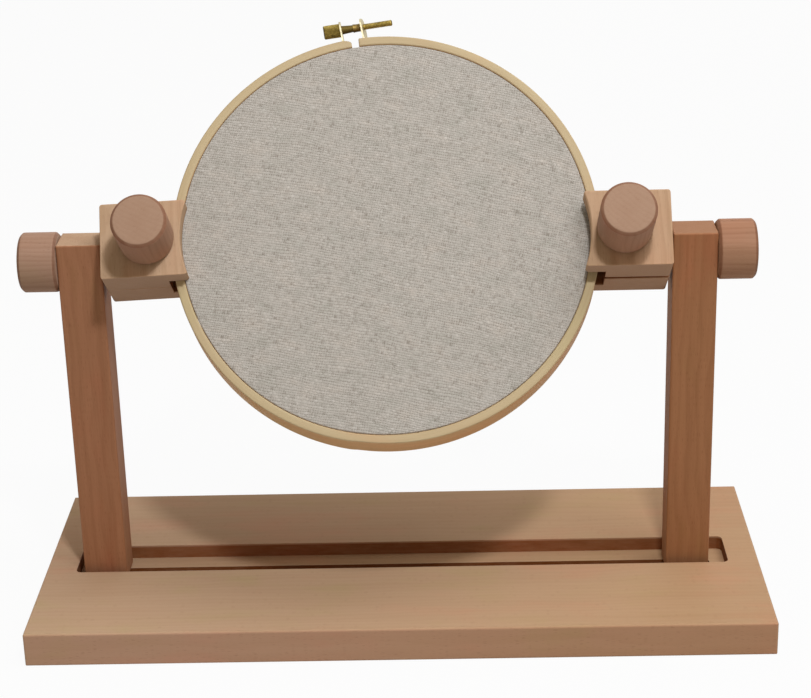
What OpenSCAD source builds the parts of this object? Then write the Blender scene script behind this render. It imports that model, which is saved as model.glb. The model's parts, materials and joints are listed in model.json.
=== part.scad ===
// Embroidery hoop stand: a slotted base board, two sliding posts, and a hoop that
// two wooden clamps hold and let tilt. Millimetres. X runs to the right, Y away from
// the stitcher, Z up. The origin is the middle of the base board's underside.

/* [Base board] */
// Depth of the base board, front to back
base_d = 160; // [120:5:220]
// Thickness of the base board
base_t = 18; // [17:0.5:26]
// Wood left at each end of the slot
base_end = 16; // [12:1:40]
// Radius to which the edges of the base board are eased
base_ease = 1.2; // [0.4:0.1:2]

/* [Slot in the base board] */
// Width of the upper channel that the posts stand in
channel_w = 30; // [27:0.5:40]
// Depth of the upper channel
channel_deep = 7.4; // [5:0.2:8]
// How far the middle of the slot lies behind the middle of the base board
channel_back = 1.5; // [-3:0.5:5]
// Corner radius of the upper channel
channel_corner = 3; // [1:0.5:5]
// Free length of slot outside the left post
slot_spare_left = 4; // [3.2:0.2:30]
// Free length of slot outside the right post
slot_spare_right = 10; // [3.2:0.2:30]
// Width of the groove in the underside that hides the bolt heads
groove_w = 22; // [20:0.5:30]
// Depth of the groove in the underside
groove_deep = 6; // [5.8:0.1:6.6]

/* [Posts] */
// Width of a post, side to side
post_w = 22.5; // [20:0.5:30]
// Depth of a post, front to back
post_d = 21; // [18:0.5:26]
// Length of a post
post_len = 188; // [170:2:260]
// How far the tilt axle lies below the top of a post
axle_down = 12; // [10:0.5:30]
// Radius to which the edges of a post are eased
post_ease = 1; // [0.4:0.1:2]

/* [Hoop] */
// Outside diameter of the outer ring
hoop_d = 213; // [180:5:240]
// Depth of both rings, front to back
ring_deep = 19; // [14:1:24]
// Thickness of the outer ring's wall
outer_ring_t = 4.5; // [3:0.1:6]
// Thickness of the inner ring's wall
inner_ring_t = 4; // [3:0.1:6]
// Radius to which the edges of the rings are eased
ring_ease = 0.8; // [0.3:0.1:1.2]
// Width of the split in the outer ring
split_w = 3.8; // [2:0.2:6]
// Angle of the split, left of the top of the hoop
split_angle = 8; // [0:1:20]
// Tilt of the hoop, back from upright
tilt = 36.5; // [0:0.5:70]

/* [Linen] */
// Thickness of the linen
linen_t = 0.6; // [0.4:0.1:1]
// How far the linen's face lies behind the front of the outer ring
linen_inset = 0.3; // [0.2:0.1:1.5]
// Gap on each side of the linen where it runs down between the rings
linen_gap = 0.15; // [0.1:0.05:0.3]

/* [Hoop screw] */
// Height of the screw's axis above the outer ring
screw_up = 9.8; // [9:0.5:14]
// Diameter of the screw's rod
rod_d = 3.2; // [2.5:0.1:4]
// Length of the rod beyond the right lug
rod_tail = 14.6; // [8:0.2:20]
// Diameter of the knurled head
head_d = 7; // [6:0.2:9]
// Length of the knurled head
head_len = 9; // [6:0.5:12]
// Depth of the knurling's grooves
knurl_deep = 0.35; // [0.2:0.05:0.5]
// Number of grooves round the head
knurls = 18; // [12:1:30]
// Diameter of the threaded sleeve between the lugs
sleeve_d = 4.4; // [4.2:0.1:5]
// Length of the threaded sleeve
sleeve_len = 5; // [3:0.5:5.5]
// Distance from the middle of the split to each lug
lug_out = 5.2; // [4.8:0.1:8]
// Width of a lug along the ring's depth
lug_w = 8; // [8:0.5:12]
// Thickness of a lug's sheet brass
lug_t = 0.8; // [0.6:0.1:1.2]
// Length of a lug's foot along the ring
lug_foot = 9; // [6:0.5:14]

/* [Clamps] */
// Width of a jaw, side to side
jaw_w = 42.6; // [40:0.2:60]
// Height of a jaw, along the hoop's face
jaw_h = 38.8; // [34:0.2:60]
// Thickness of a jaw
jaw_t = 19.5; // [17:0.5:26]
// How far a jaw reaches in over the outer ring
jaw_bite = 8.5; // [6:0.1:14]
// Depth of the rebate cut in each jaw for the ring
rebate_deep = 9.5; // [6:0.1:9.5]
// Radius of the hollow in a jaw's inner edge
scoop_r = 55; // [50:1:110]
// Depth of the hollow in a jaw's inner edge
scoop_deep = 3.2; // [1:0.1:3.4]
// Free space in the rebate outside the ring
rebate_spare = 1.8; // [1.5:0.1:5]
// How far a clamp's stud lies inside the middle of its jaws
stud_in = 1.9; // [0:0.1:4]
// How far the middle of a clamp lies below the middle of the hoop
clamp_drop = 3.3; // [0:0.1:6]
// How far the tilt axle lies below the middle of a clamp
axle_drop = 1.5; // [0:0.1:8]
// Turn of the left jaws on the ring, as they happen to be clamped
left_skew = 2.5; // [0:0.5:2.5]
// Extra opening of the right clamp, which is not fully tightened
right_slack = 3.2; // [0:0.1:4]
// Radius of the jaws' corners
jaw_corner = 1.8; // [0.8:0.1:4]
// Radius to which the edges of the jaws' faces are eased
jaw_ease = 0.6; // [0.3:0.1:1.2]

/* [Wooden knobs] */
// Diameter of a clamp knob
clamp_knob_d = 27.4; // [24:0.2:34]
// Length of a clamp knob
clamp_knob_len = 28.5; // [18:0.5:32]
// Diameter of a tilt knob
tilt_knob_d = 30.4; // [24:0.2:34]
// Length of a tilt knob
tilt_knob_len = 19.5; // [17:0.5:30]
// Chamfer round a knob's ends
knob_chamfer = 1.5; // [0.5:0.1:3]

/* [Screws and inserts] */
// Diameter of the bolts and studs
stud_d = 6; // [5:0.5:6.5]
// How deep a stud is held in its knob
stud_in_knob = 13; // [8:0.5:15]
// Outside diameter of the brass inserts
insert_d = 8.5; // [8:0.1:9.5]
// Length of the brass inserts
insert_len = 12; // [8:0.5:14]
// Diameter of a bolt's head
bolt_head_d = 11; // [9:0.5:14]
// Height of a bolt's head
bolt_head_h = 3.2; // [2.5:0.1:3.6]
// Width across the corners of a bolt's hex socket
socket_d = 4.6; // [3.5:0.1:5]
// Diameter of a washer under the base board
washer_d = 18; // [14:0.5:19]
// Thickness of a washer
washer_t = 1.6; // [1:0.1:1.8]

/* [Fits] */
// Gap between a jaw and its post
side_gap = 2.4; // [1.2:0.1:3]
// Gap on each side of the ring in a closed clamp
grip_gap = 0.1; // [0.1:0.05:0.3]
// Radial running clearance of a stud in its hole
stud_gap = 0.06; // [0.04:0.01:0.1]
// Gap between flat faces that turn on each other
face_gap = 0.1; // [0.05:0.05:0.2]
// Radial gap round a brass insert in its hole
insert_gap = 0.02; // [0.01:0.01:0.05]
// Clearance of a bolt in the base board's slot, on each side
slot_gap = 0.2; // [0.1:0.1:0.5]

/* [Hidden] */

$fn = 64;
round_fn = 128;
// Overlap that lets a cutter break cleanly through a face
cut = 1;

board_color = "burlywood";
post_color = "peru";
jaw_color = "wheat";
knob_color = "tan";
ring_color = "navajowhite";
linen_color = "lightgray";
brass_color = "goldenrod";
steel_color = "silver";

hoop_r = hoop_d / 2;
stud_r = stud_d / 2;
insert_r = insert_d / 2;

// Clamps, measured from the middle of the hoop along X
jaw_in = hoop_r - jaw_bite;
jaw_out = jaw_in + jaw_w;
jaw_mid = (jaw_in + jaw_out) / 2;
rebate_out = hoop_r + rebate_spare;
post_in = jaw_out + side_gap;
post_out = post_in + post_w;
post_mid = (post_in + post_out) / 2;

// The slot is as long as the posts' span and the spare length at its ends
slot_len = 2 * post_out + slot_spare_left + slot_spare_right;
hoop_x = (slot_spare_left - slot_spare_right) / 2;
base_w = slot_len + 2 * base_end;
channel_floor = base_t - channel_deep;
post_top = channel_floor + post_len;
bolt_slot_w = stud_d + 2 * slot_gap;
bolt_slot_len = slot_len - post_w + bolt_slot_w;
groove_len = slot_len - post_w + groove_w;

// Clamps, measured from the front of the hoop along its normal
back_face_gap = ring_deep + grip_gap;
parting = rebate_deep - back_face_gap;
left_opening = back_face_gap + grip_gap - 2 * rebate_deep;
right_opening = left_opening + right_slack;
axle_back = -(parting - jaw_t / 2);
axle_low = clamp_drop + axle_drop;
axle_z = post_top - axle_down;

// Rings
linen_out = hoop_r - outer_ring_t - linen_gap;
inner_ring_out = linen_out - linen_t - linen_gap;
inner_ring_front = linen_inset + linen_t;
screw_r = hoop_r + screw_up;
hoop_mid = -ring_deep / 2;
lug_top = head_d / 2 + 1;
rod_start = -lug_out - lug_t;
rod_end = lug_out + lug_t + rod_tail;

// Places a child on the tilt axle and turns it into the hoop's own frame: its X is
// the stand's X, its Y runs up the hoop's face and its Z out of the hoop's front.
module in_hoop_frame()
    translate([hoop_x, channel_back, axle_z])
        rotate([90 - tilt, 0, 0])
            translate([0, axle_low, axle_back])
                children();

// A child drawn for the right-hand side (side = 1) or mirrored to the left (side = -1)
module on_side(side)
    mirror([side > 0 ? 0 : 1, 0, 0]) children();

// A clamp's own frame: the right or left clamp in the hoop's frame, with the jaws
// turned about the clamp stud, which is the frame's Z, by their skew
module in_clamp_frame(side, skew = 0)
    in_hoop_frame()
        on_side(side)
            translate([jaw_mid - stud_in, -clamp_drop, 0])
                rotate([0, 0, skew])
                    children();

// The same clamp, not skewed, with the origin on the tilt axle
module on_tilt_axle(side)
    in_hoop_frame()
        on_side(side)
            translate([0, -axle_low, -axle_back])
                rotate([0, 90, 0])
                    children();

function skew_of(side) = side > 0 ? 0 : -left_skew;
function opening_of(side) = side > 0 ? right_opening : left_opening;

module rounded_rect(w, h, r) {
    square([w - 2 * r, h], center = true);
    square([w, h - 2 * r], center = true);
    for (x = [-1, 1], y = [-1, 1])
        translate([x * (w / 2 - r), y * (h / 2 - r)]) circle(r);
}

// A block centred on the origin, with every edge eased: corners along Z to
// corner, the other edges to ease
module eased_block(w, d, h, ease, corner) {
    intersection() {
        linear_extrude(h, center = true) rounded_rect(w, d, corner);
        rotate([90, 0, 0]) linear_extrude(d, center = true) rounded_rect(w, h, ease);
        rotate([90, 0, 90]) linear_extrude(w, center = true) rounded_rect(d, h, ease);
    }
}

// A slot with a flat bottom along X, cut upwards from z = 0
module slot_cut(len, w, deep, r)
    linear_extrude(deep) rounded_rect(len, w, r);

module base_board() {
    color(board_color) difference() {
        translate([0, 0, base_t / 2])
            eased_block(base_w, base_d, base_t, base_ease, base_ease);
        translate([0, channel_back, channel_floor])
            slot_cut(slot_len, channel_w, channel_deep + cut, channel_corner);
        translate([0, channel_back, -cut])
            slot_cut(bolt_slot_len, bolt_slot_w, base_t + 2 * cut, bolt_slot_w / 2 - 0.01);
        translate([0, channel_back, -cut])
            slot_cut(groove_len, groove_w, groove_deep + cut, groove_w / 2 - 0.01);
    }
}

// Places a child at the foot of a post, at the level of the channel's floor
module at_post(side)
    translate([hoop_x + side * post_mid, channel_back, channel_floor])
        children();

module post(side) {
    color(post_color) difference() {
        at_post(side)
            translate([0, 0, post_len / 2])
                eased_block(post_w, post_d, post_len, post_ease, post_ease);
        at_post(side) {
            translate([0, 0, -cut]) cylinder(h = insert_len + cut, r = insert_r + insert_gap);
            cylinder(h = bolt_reach() + cut, r = stud_r + stud_gap);
        }
        on_tilt_axle(side)
            translate([0, 0, post_in - cut])
                cylinder(h = post_w + 2 * cut, r = stud_r + stud_gap);
    }
}

// Length of bolt that stands above the channel's floor
function bolt_reach() = insert_len + 2;

module post_insert(side) {
    color(brass_color) at_post(side) difference() {
        cylinder(h = insert_len, r = insert_r);
        translate([0, 0, -cut]) cylinder(h = insert_len + 2 * cut, r = stud_r + stud_gap);
    }
}

// The post's bolt stands on its head in the groove of the base board
module post_bolt(side) {
    head_top = groove_deep - washer_t;
    color(steel_color)
        translate([hoop_x + side * post_mid, channel_back, 0])
            difference() {
                union() {
                    translate([0, 0, head_top - bolt_head_h])
                        cylinder(h = bolt_head_h, r = bolt_head_d / 2);
                    translate([0, 0, head_top - cut])
                        cylinder(h = channel_floor + bolt_reach() - head_top + cut, r = stud_r);
                }
                translate([0, 0, head_top - bolt_head_h - cut])
                    cylinder(h = bolt_head_h * 0.6 + cut, r = socket_d / 2, $fn = 6);
            }
}

module post_washer(side) {
    color(steel_color)
        translate([hoop_x + side * post_mid, channel_back, groove_deep - washer_t])
            difference() {
                cylinder(h = washer_t, r = washer_d / 2);
                translate([0, 0, -cut]) cylinder(h = washer_t + 2 * cut, r = stud_r + slot_gap);
            }
}

// The block of one jaw with its rebate for the ring. Its parting face is at z = 0
// and the block stands up from there; the rebate opens towards the hoop at -X, where
// the block's edge is hollowed to follow the hoop.
module jaw_block() {
    translate([stud_in, 0, 0]) difference() {
        translate([0, 0, jaw_t / 2])
            eased_block(jaw_w, jaw_h, jaw_t, jaw_ease, jaw_corner);
        translate([-jaw_w / 2 - cut, -jaw_h / 2 - cut, -cut])
            cube([rebate_out - jaw_in + cut, jaw_h + 2 * cut, rebate_deep + cut]);
        translate([-jaw_w / 2 + scoop_deep - scoop_r, 0, 0]) {
            translate([0, 0, -cut]) cylinder(h = jaw_t + 2 * cut, r = scoop_r, $fn = round_fn);
            translate([0, 0, jaw_t - jaw_ease])
                cylinder(h = 2 * jaw_ease, r1 = scoop_r, r2 = scoop_r + 2 * jaw_ease, $fn = round_fn);
        }
    }
}

module front_jaw(side) {
    color(jaw_color)
        in_clamp_frame(side, skew_of(side))
            translate([0, 0, parting + opening_of(side)])
                difference() {
                    jaw_block();
                    translate([0, 0, -cut]) cylinder(h = jaw_t + 2 * cut, r = stud_r + stud_gap);
                }
}

module back_jaw(side) {
    color(jaw_color) difference() {
        in_clamp_frame(side, skew_of(side))
            translate([0, 0, parting])
                mirror([0, 0, 1])
                    difference() {
                        jaw_block();
                        translate([0, 0, -cut])
                            cylinder(h = jaw_t + 2 * cut, r = stud_r + stud_gap);
                        translate([0, 0, jaw_t - insert_len])
                            cylinder(h = insert_len + cut, r = insert_r + insert_gap);
                    }
        on_tilt_axle(side)
            translate([0, 0, jaw_out - side_gap - insert_len])
                cylinder(h = insert_len + 2 * side_gap, r = insert_r + insert_gap);
    }
}

// Brass insert in the back of the back jaw, which the clamp stud screws into
module clamp_insert(side) {
    color(brass_color)
        in_clamp_frame(side)
            translate([0, 0, parting - jaw_t])
                difference() {
                    cylinder(h = insert_len, r = insert_r);
                    translate([0, 0, -cut])
                        cylinder(h = insert_len + 2 * cut, r = stud_r + stud_gap);
                }
}

// Brass insert in the outer side of the back jaw, which the tilt stud screws into
module tilt_insert(side) {
    color(brass_color)
        on_tilt_axle(side)
            translate([0, 0, jaw_out - side_gap - insert_len])
                difference() {
                    cylinder(h = insert_len, r = insert_r);
                    translate([0, 0, -cut])
                        cylinder(h = insert_len + 2 * cut, r = stud_r + stud_gap);
                }
}

// A turned knob that stands on z = 0, with a blind hole for its stud
module knob(d, len) {
    r = d / 2;
    difference() {
        rotate_extrude($fn = round_fn)
            polygon([[0, 0], [r - knob_chamfer, 0], [r, knob_chamfer],
                     [r, len - knob_chamfer], [r - knob_chamfer, len], [0, len]]);
        translate([0, 0, -cut])
            cylinder(h = stud_in_knob + cut, r = stud_r + insert_gap);
    }
}

// Front face of a front jaw, where the clamp knob bears
function knob_seat(side) = parting + opening_of(side) + jaw_t + face_gap;

module clamp_knob(side) {
    color(knob_color)
        in_clamp_frame(side)
            translate([0, 0, knob_seat(side)])
                knob(clamp_knob_d, clamp_knob_len);
}

module clamp_stud(side) {
    tip = parting - jaw_t + 1 + opening_of(side) - left_opening;
    color(steel_color)
        in_clamp_frame(side)
            translate([0, 0, tip])
                cylinder(h = knob_seat(side) + stud_in_knob - tip, r = stud_r);
}

module tilt_knob(side) {
    color(knob_color)
        on_tilt_axle(side)
            translate([0, 0, post_out + face_gap])
                knob(tilt_knob_d, tilt_knob_len);
}

module tilt_stud(side) {
    tip = jaw_out - side_gap - insert_len + 1;
    color(steel_color)
        on_tilt_axle(side)
            translate([0, 0, tip])
                cylinder(h = post_out + face_gap + stud_in_knob - tip, r = stud_r);
}

// A ring's wall with eased edges, from z = -back to z = -front
module ring_wall(r_out, wall, front, back) {
    deep = back - front;
    rotate_extrude($fn = round_fn)
        translate([r_out - wall / 2, -front - deep / 2])
            rounded_rect(wall, deep, ring_ease);
}

// Turns a child to the split: its X runs along the screw and its Y points outwards
module at_split()
    rotate([0, 0, split_angle]) children();

module hoop_outer_ring() {
    color(ring_color) in_hoop_frame() difference() {
        ring_wall(hoop_r, outer_ring_t, 0, ring_deep);
        at_split()
            translate([-split_w / 2, hoop_r - outer_ring_t - cut, -ring_deep - cut])
                cube([split_w, outer_ring_t + 2 * cut, ring_deep + 2 * cut]);
    }
}

module hoop_inner_ring() {
    color(ring_color) in_hoop_frame()
        ring_wall(inner_ring_out, inner_ring_t, inner_ring_front, ring_deep);
}

// The face of the cloth, stretched over the front of the inner ring
module linen() {
    color(linen_color) in_hoop_frame()
        translate([0, 0, -inner_ring_front])
            cylinder(h = linen_t, r = linen_out, $fn = round_fn);
}

// The rest of the cloth, which runs down between the rings to their backs
module linen_edge() {
    deep = ring_deep - inner_ring_front;
    color(linen_color) in_hoop_frame() translate([0, 0, -ring_deep]) difference() {
        cylinder(h = deep, r = linen_out, $fn = round_fn);
        translate([0, 0, -cut])
            cylinder(h = deep + 2 * cut, r = linen_out - linen_t, $fn = round_fn);
    }
}

// A brass lug: a foot bent along the outer ring and an ear for the screw
module hoop_lug(side) {
    foot_r = hoop_r + lug_t;
    ear_x = side > 0 ? lug_out : -lug_out - lug_t;
    foot_x = side > 0 ? lug_out : -lug_out - lug_foot;
    color(brass_color) in_hoop_frame() translate([0, 0, hoop_mid]) at_split() {
        difference() {
            union() {
                intersection() {
                    cylinder(h = lug_w, r = foot_r, center = true, $fn = round_fn);
                    translate([foot_x, 0, -lug_w / 2]) cube([lug_foot, foot_r + cut, lug_w]);
                }
                translate([ear_x, hoop_r, -lug_w / 2]) cube([lug_t, screw_up, lug_w]);
                translate([ear_x, screw_r, 0]) rotate([0, 90, 0]) cylinder(h = lug_t, r = lug_top);
            }
            cylinder(h = lug_w + 2 * cut, r = hoop_r, center = true, $fn = round_fn);
            translate([ear_x - cut, screw_r, 0]) rotate([0, 90, 0])
                cylinder(h = lug_t + 2 * cut, r = rod_d / 2 + stud_gap);
        }
    }
}

module hoop_left_lug() hoop_lug(-1);
module hoop_right_lug() hoop_lug(1);

// Places a child on the screw's axis, its Z along the rod towards the right
module on_screw()
    in_hoop_frame()
        translate([0, 0, hoop_mid])
            at_split()
                translate([0, screw_r, 0])
                    rotate([0, 90, 0])
                        children();

// The threaded sleeve sits against the right lug's inner face
module hoop_screw_sleeve() {
    color(brass_color) on_screw() difference() {
        translate([0, 0, lug_out - sleeve_len]) cylinder(h = sleeve_len, r = sleeve_d / 2);
        translate([0, 0, lug_out - sleeve_len - cut])
            cylinder(h = sleeve_len + 2 * cut, r = rod_d / 2 + stud_gap);
    }
}

module hoop_screw() {
    head_r = head_d / 2;
    color(brass_color) on_screw() {
        translate([0, 0, rod_start - face_gap - head_len]) difference() {
            cylinder(h = head_len, r = head_r);
            for (k = [0 : knurls - 1])
                rotate([0, 0, k * 360 / knurls])
                    translate([head_r, 0, -cut])
                        rotate([0, 0, 45])
                            cube([knurl_deep * sqrt(2), knurl_deep * sqrt(2), 2 * head_len + 2 * cut],
                                 center = true);
        }
        translate([0, 0, rod_start - face_gap - cut])
            cylinder(h = rod_end - rod_start + face_gap + cut, r = rod_d / 2);
    }
}

base_board();
post(-1);  // left_post
post_insert(-1);  // left_post_insert
post_bolt(-1);  // left_post_bolt
post_washer(-1);  // left_post_washer
post(1);  // right_post
post_insert(1);  // right_post_insert
post_bolt(1);  // right_post_bolt
post_washer(1);  // right_post_washer
back_jaw(-1);  // left_back_jaw
front_jaw(-1);  // left_front_jaw
clamp_insert(-1);  // left_clamp_insert
tilt_insert(-1);  // left_tilt_insert
clamp_knob(-1);  // left_clamp_knob
clamp_stud(-1);  // left_clamp_stud
tilt_knob(-1);  // left_tilt_knob
tilt_stud(-1);  // left_tilt_stud
back_jaw(1);  // right_back_jaw
front_jaw(1);  // right_front_jaw
clamp_insert(1);  // right_clamp_insert
tilt_insert(1);  // right_tilt_insert
clamp_knob(1);  // right_clamp_knob
clamp_stud(1);  // right_clamp_stud
tilt_knob(1);  // right_tilt_knob
tilt_stud(1);  // right_tilt_stud
hoop_outer_ring();
hoop_inner_ring();
linen();
linen_edge();
hoop_left_lug();
hoop_right_lug();
hoop_screw_sleeve();
hoop_screw();
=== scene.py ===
"""Looks of an embroidery hoop stand: beech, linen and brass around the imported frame.

Shapes are in metres, in the stand's own frame: X to the right along the base board,
Y away from the stitcher, Z up from the table. A size that isn't read from the frame is
written as millimetres times MM. A finish's own sizes are in millimetres.
"""

import json
import logging
import math
from collections.abc import Sequence
from dataclasses import dataclass, field, replace
from enum import Enum

import bmesh
import bpy
import numpy as np
from mathutils import Matrix, Vector

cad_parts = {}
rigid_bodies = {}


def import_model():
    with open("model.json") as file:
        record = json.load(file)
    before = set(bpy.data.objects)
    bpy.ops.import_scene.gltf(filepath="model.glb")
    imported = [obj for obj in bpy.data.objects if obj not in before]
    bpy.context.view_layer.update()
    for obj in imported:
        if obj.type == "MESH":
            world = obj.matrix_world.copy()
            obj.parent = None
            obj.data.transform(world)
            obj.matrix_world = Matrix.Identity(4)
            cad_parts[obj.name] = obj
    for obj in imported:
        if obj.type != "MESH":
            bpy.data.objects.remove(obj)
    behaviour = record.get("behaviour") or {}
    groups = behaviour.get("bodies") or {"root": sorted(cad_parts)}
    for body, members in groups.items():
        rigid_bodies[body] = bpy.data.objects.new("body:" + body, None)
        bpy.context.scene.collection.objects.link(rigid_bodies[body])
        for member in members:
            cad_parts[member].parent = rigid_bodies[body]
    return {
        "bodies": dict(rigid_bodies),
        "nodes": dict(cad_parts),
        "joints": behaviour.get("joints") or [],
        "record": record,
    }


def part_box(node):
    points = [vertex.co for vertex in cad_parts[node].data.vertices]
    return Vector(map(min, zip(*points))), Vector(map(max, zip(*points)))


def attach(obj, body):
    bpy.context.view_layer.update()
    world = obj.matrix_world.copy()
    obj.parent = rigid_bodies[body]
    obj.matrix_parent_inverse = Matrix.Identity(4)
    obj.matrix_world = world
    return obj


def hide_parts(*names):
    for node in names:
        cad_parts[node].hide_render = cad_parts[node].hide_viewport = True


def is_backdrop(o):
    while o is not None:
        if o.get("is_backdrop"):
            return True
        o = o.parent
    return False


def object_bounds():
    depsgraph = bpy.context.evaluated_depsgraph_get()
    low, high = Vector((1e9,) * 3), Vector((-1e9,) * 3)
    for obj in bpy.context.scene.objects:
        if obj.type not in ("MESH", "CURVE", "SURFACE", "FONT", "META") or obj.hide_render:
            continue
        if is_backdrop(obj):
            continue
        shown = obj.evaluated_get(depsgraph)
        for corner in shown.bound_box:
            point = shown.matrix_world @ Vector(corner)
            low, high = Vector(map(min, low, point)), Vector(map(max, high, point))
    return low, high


MM = 0.001
# Points closer than WELD are one point, and edges shorter than SLIVER are dissolved
WELD = 1e-7
SLIVER = 1e-8
# A point of an outline this near to the widest radius is on the side, not on an end
ON_SIDE = 0.01 * MM
# How far along the grain a stick's pattern is shifted for each unit of its seed
SEED_STEP = 37.0
log = logging.getLogger("hoop_stand")

Rgb = tuple[float, float, float]
Socket = bpy.types.NodeSocket


class Side(Enum):
    """The two sides of the stand, with the sign of X on each."""

    LEFT = -1
    RIGHT = 1

    @property
    def word(self) -> str:
        """The side as the frame's names spell it."""
        return self.name.lower()


@dataclass(frozen=True)
class Axes:
    """A right-handed frame of its own: an origin and three unit directions."""

    origin: np.ndarray
    x: np.ndarray
    y: np.ndarray
    z: np.ndarray

    @classmethod
    def along(cls, origin: Sequence[float], z: Sequence[float], x_near: Sequence[float]) -> "Axes":
        """Builds a frame from its Z direction and a rough X direction.

        Args:
            origin: Where the frame's origin lies.
            z: The direction of its Z.
            x_near: A direction that its X is turned towards, square to Z.

        Returns:
            The frame.
        """
        up = np.asarray(z, float) / np.linalg.norm(z)
        side = np.asarray(x_near, float) - np.dot(x_near, up) * up
        side /= np.linalg.norm(side)
        return cls(np.asarray(origin, float), side, np.cross(up, side), up)

    def matrix(self) -> np.ndarray:
        """The three directions as rows."""
        return np.stack([self.x, self.y, self.z])

    def place(self, local: np.ndarray) -> np.ndarray:
        """Takes points of this frame, (..., 3), to the stand's frame."""
        return self.origin + local @ self.matrix()

    def local(self, points: np.ndarray) -> np.ndarray:
        """Takes points of the stand's frame, (..., 3), to this frame."""
        return (points - self.origin) @ self.matrix().T

    def moved(self, x: float = 0.0, y: float = 0.0, z: float = 0.0) -> "Axes":
        """The same directions about an origin shifted by x, y and z of this frame."""
        return Axes(self.place(np.array([x, y, z])), self.x, self.y, self.z)

    def turned(self, degrees: float) -> "Axes":
        """The same frame turned about its own Z."""
        c, s = math.cos(math.radians(degrees)), math.sin(math.radians(degrees))
        return Axes(self.origin, c * self.x + s * self.y, c * self.y - s * self.x, self.z)

    def euler(self) -> tuple[float, float, float]:
        """The frame's turn as XYZ angles, for a Mapping node."""
        return tuple(Matrix(self.matrix().T.tolist()).to_euler("XYZ"))


class Stand:
    """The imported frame: where its nodes and joints are."""

    def __init__(self) -> None:
        """Loads the frame and keeps the box that it fills."""
        self.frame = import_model()
        self.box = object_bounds()
        self.joints = {joint["name"]: joint for joint in self.frame["joints"]}

    def node(self, name: str) -> bpy.types.Object:
        """The object of one CAD node."""
        return self.frame["nodes"][name]

    def points(self, name: str) -> np.ndarray:
        """Every vertex of one CAD node, (n, 3).

        Args:
            name: The node.

        Returns:
            The vertices, in the stand's frame.
        """
        vertices = self.node(name).data.vertices
        flat = np.empty(len(vertices) * 3, np.float32)
        vertices.foreach_get("co", flat)
        return flat.reshape(-1, 3).astype(float)

    def extent(self, name: str, axes: Axes) -> tuple[np.ndarray, np.ndarray]:
        """Lowest and highest corner of one CAD node in a frame of its own."""
        local = axes.local(self.points(name))
        return local.min(0), local.max(0)

    def squared(self, name: str, axes: Axes) -> Axes:
        """Turns a frame about its Z until one CAD node's sides lie along it.

        Of the turns within most_turn degrees either way, it is the one at which the
        box round the node has the smallest face.

        Args:
            name: The node.
            axes: The frame to start from.

        Returns:
            The turned frame.
        """
        most_turn, step = 5.0, 0.25
        turns = np.arange(-most_turn, most_turn + step / 2, step)
        boxes = [self.extent(name, axes.turned(turn)) for turn in turns]
        faces = [np.prod((high - low)[:2]) for low, high in boxes]
        return axes.turned(float(turns[int(np.argmin(faces))]))

    def pivot(self, joint: str) -> tuple[np.ndarray, np.ndarray]:
        """Place and direction of a joint's axis."""
        found = self.joints[joint]
        return np.array(found["pos_m"], float), np.array(found["axis"], float)


@dataclass(frozen=True)
class Patch:
    """A surface as points on a grid of two parameters, each with a texture coordinate."""

    points: np.ndarray
    uv: np.ndarray

    def quads(self, first: int) -> np.ndarray:
        """Vertex numbers of each face, (n, 4), counting from first.

        Args:
            first: Number of the patch's first vertex.

        Returns:
            The faces.
        """
        rows, columns = self.points.shape[:2]
        at = first + np.arange(rows * columns).reshape(rows, columns)
        return np.stack([at[:-1, :-1], at[:-1, 1:], at[1:, 1:], at[1:, :-1]], -1).reshape(-1, 4)


@dataclass(frozen=True)
class Piece:
    """A new piece of the stand, before it is made: its surfaces and what it stands for."""

    name: str
    patches: tuple[Patch, ...]
    body: str
    nodes: tuple[str, ...]
    slot: str
    crease: float = 32.0

    def make(self, material: bpy.types.Material) -> bpy.types.Object:
        """Makes the mesh, closes its seams and poles, and puts it on its body.

        Args:
            material: The finish of the whole piece.

        Returns:
            The piece's object, at the origin.
        """
        mesh = bpy.data.meshes.new(self.name)
        points = np.concatenate([p.points.reshape(-1, 3) for p in self.patches])
        uv = np.concatenate([p.uv.reshape(-1, 2) for p in self.patches])
        starts = np.cumsum([0] + [p.points.shape[0] * p.points.shape[1] for p in self.patches])
        quads = np.concatenate([p.quads(s) for p, s in zip(self.patches, starts)])
        mesh.vertices.add(len(points))
        mesh.vertices.foreach_set("co", points.astype(np.float32).ravel())
        mesh.loops.add(quads.size)
        mesh.loops.foreach_set("vertex_index", quads.astype(np.int32).ravel())
        mesh.polygons.add(len(quads))
        mesh.polygons.foreach_set("loop_start", np.arange(0, quads.size, 4, dtype=np.int32))
        mesh.update(calc_edges=True)
        layer = mesh.uv_layers.new(name="lay")
        layer.data.foreach_set("uv", uv[quads.ravel()].astype(np.float32).ravel())
        self._close(mesh)
        mesh.materials.append(material)
        piece = bpy.data.objects.new(self.name, mesh)
        bpy.context.scene.collection.objects.link(piece)
        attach(piece, self.body)
        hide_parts(*self.nodes)
        log.info("%s: %d faces on %s for %s", self.name, len(mesh.polygons), self.body,
                 ", ".join(self.nodes))
        return piece

    def _close(self, mesh: bpy.types.Mesh) -> None:
        """Joins doubled points at seams and poles, turns faces outwards and shades them.

        Args:
            mesh: The piece's mesh, which is changed.
        """
        shape = bmesh.new()
        shape.from_mesh(mesh)
        bmesh.ops.remove_doubles(shape, verts=shape.verts, dist=WELD)
        bmesh.ops.dissolve_degenerate(shape, edges=shape.edges, dist=SLIVER)
        bmesh.ops.recalc_face_normals(shape, faces=shape.faces)
        shape.to_mesh(mesh)
        shape.free()
        mesh.polygons.foreach_set("use_smooth", np.ones(len(mesh.polygons), bool))
        mesh.set_sharp_from_angle(angle=math.radians(self.crease))
        mesh.update()


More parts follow.
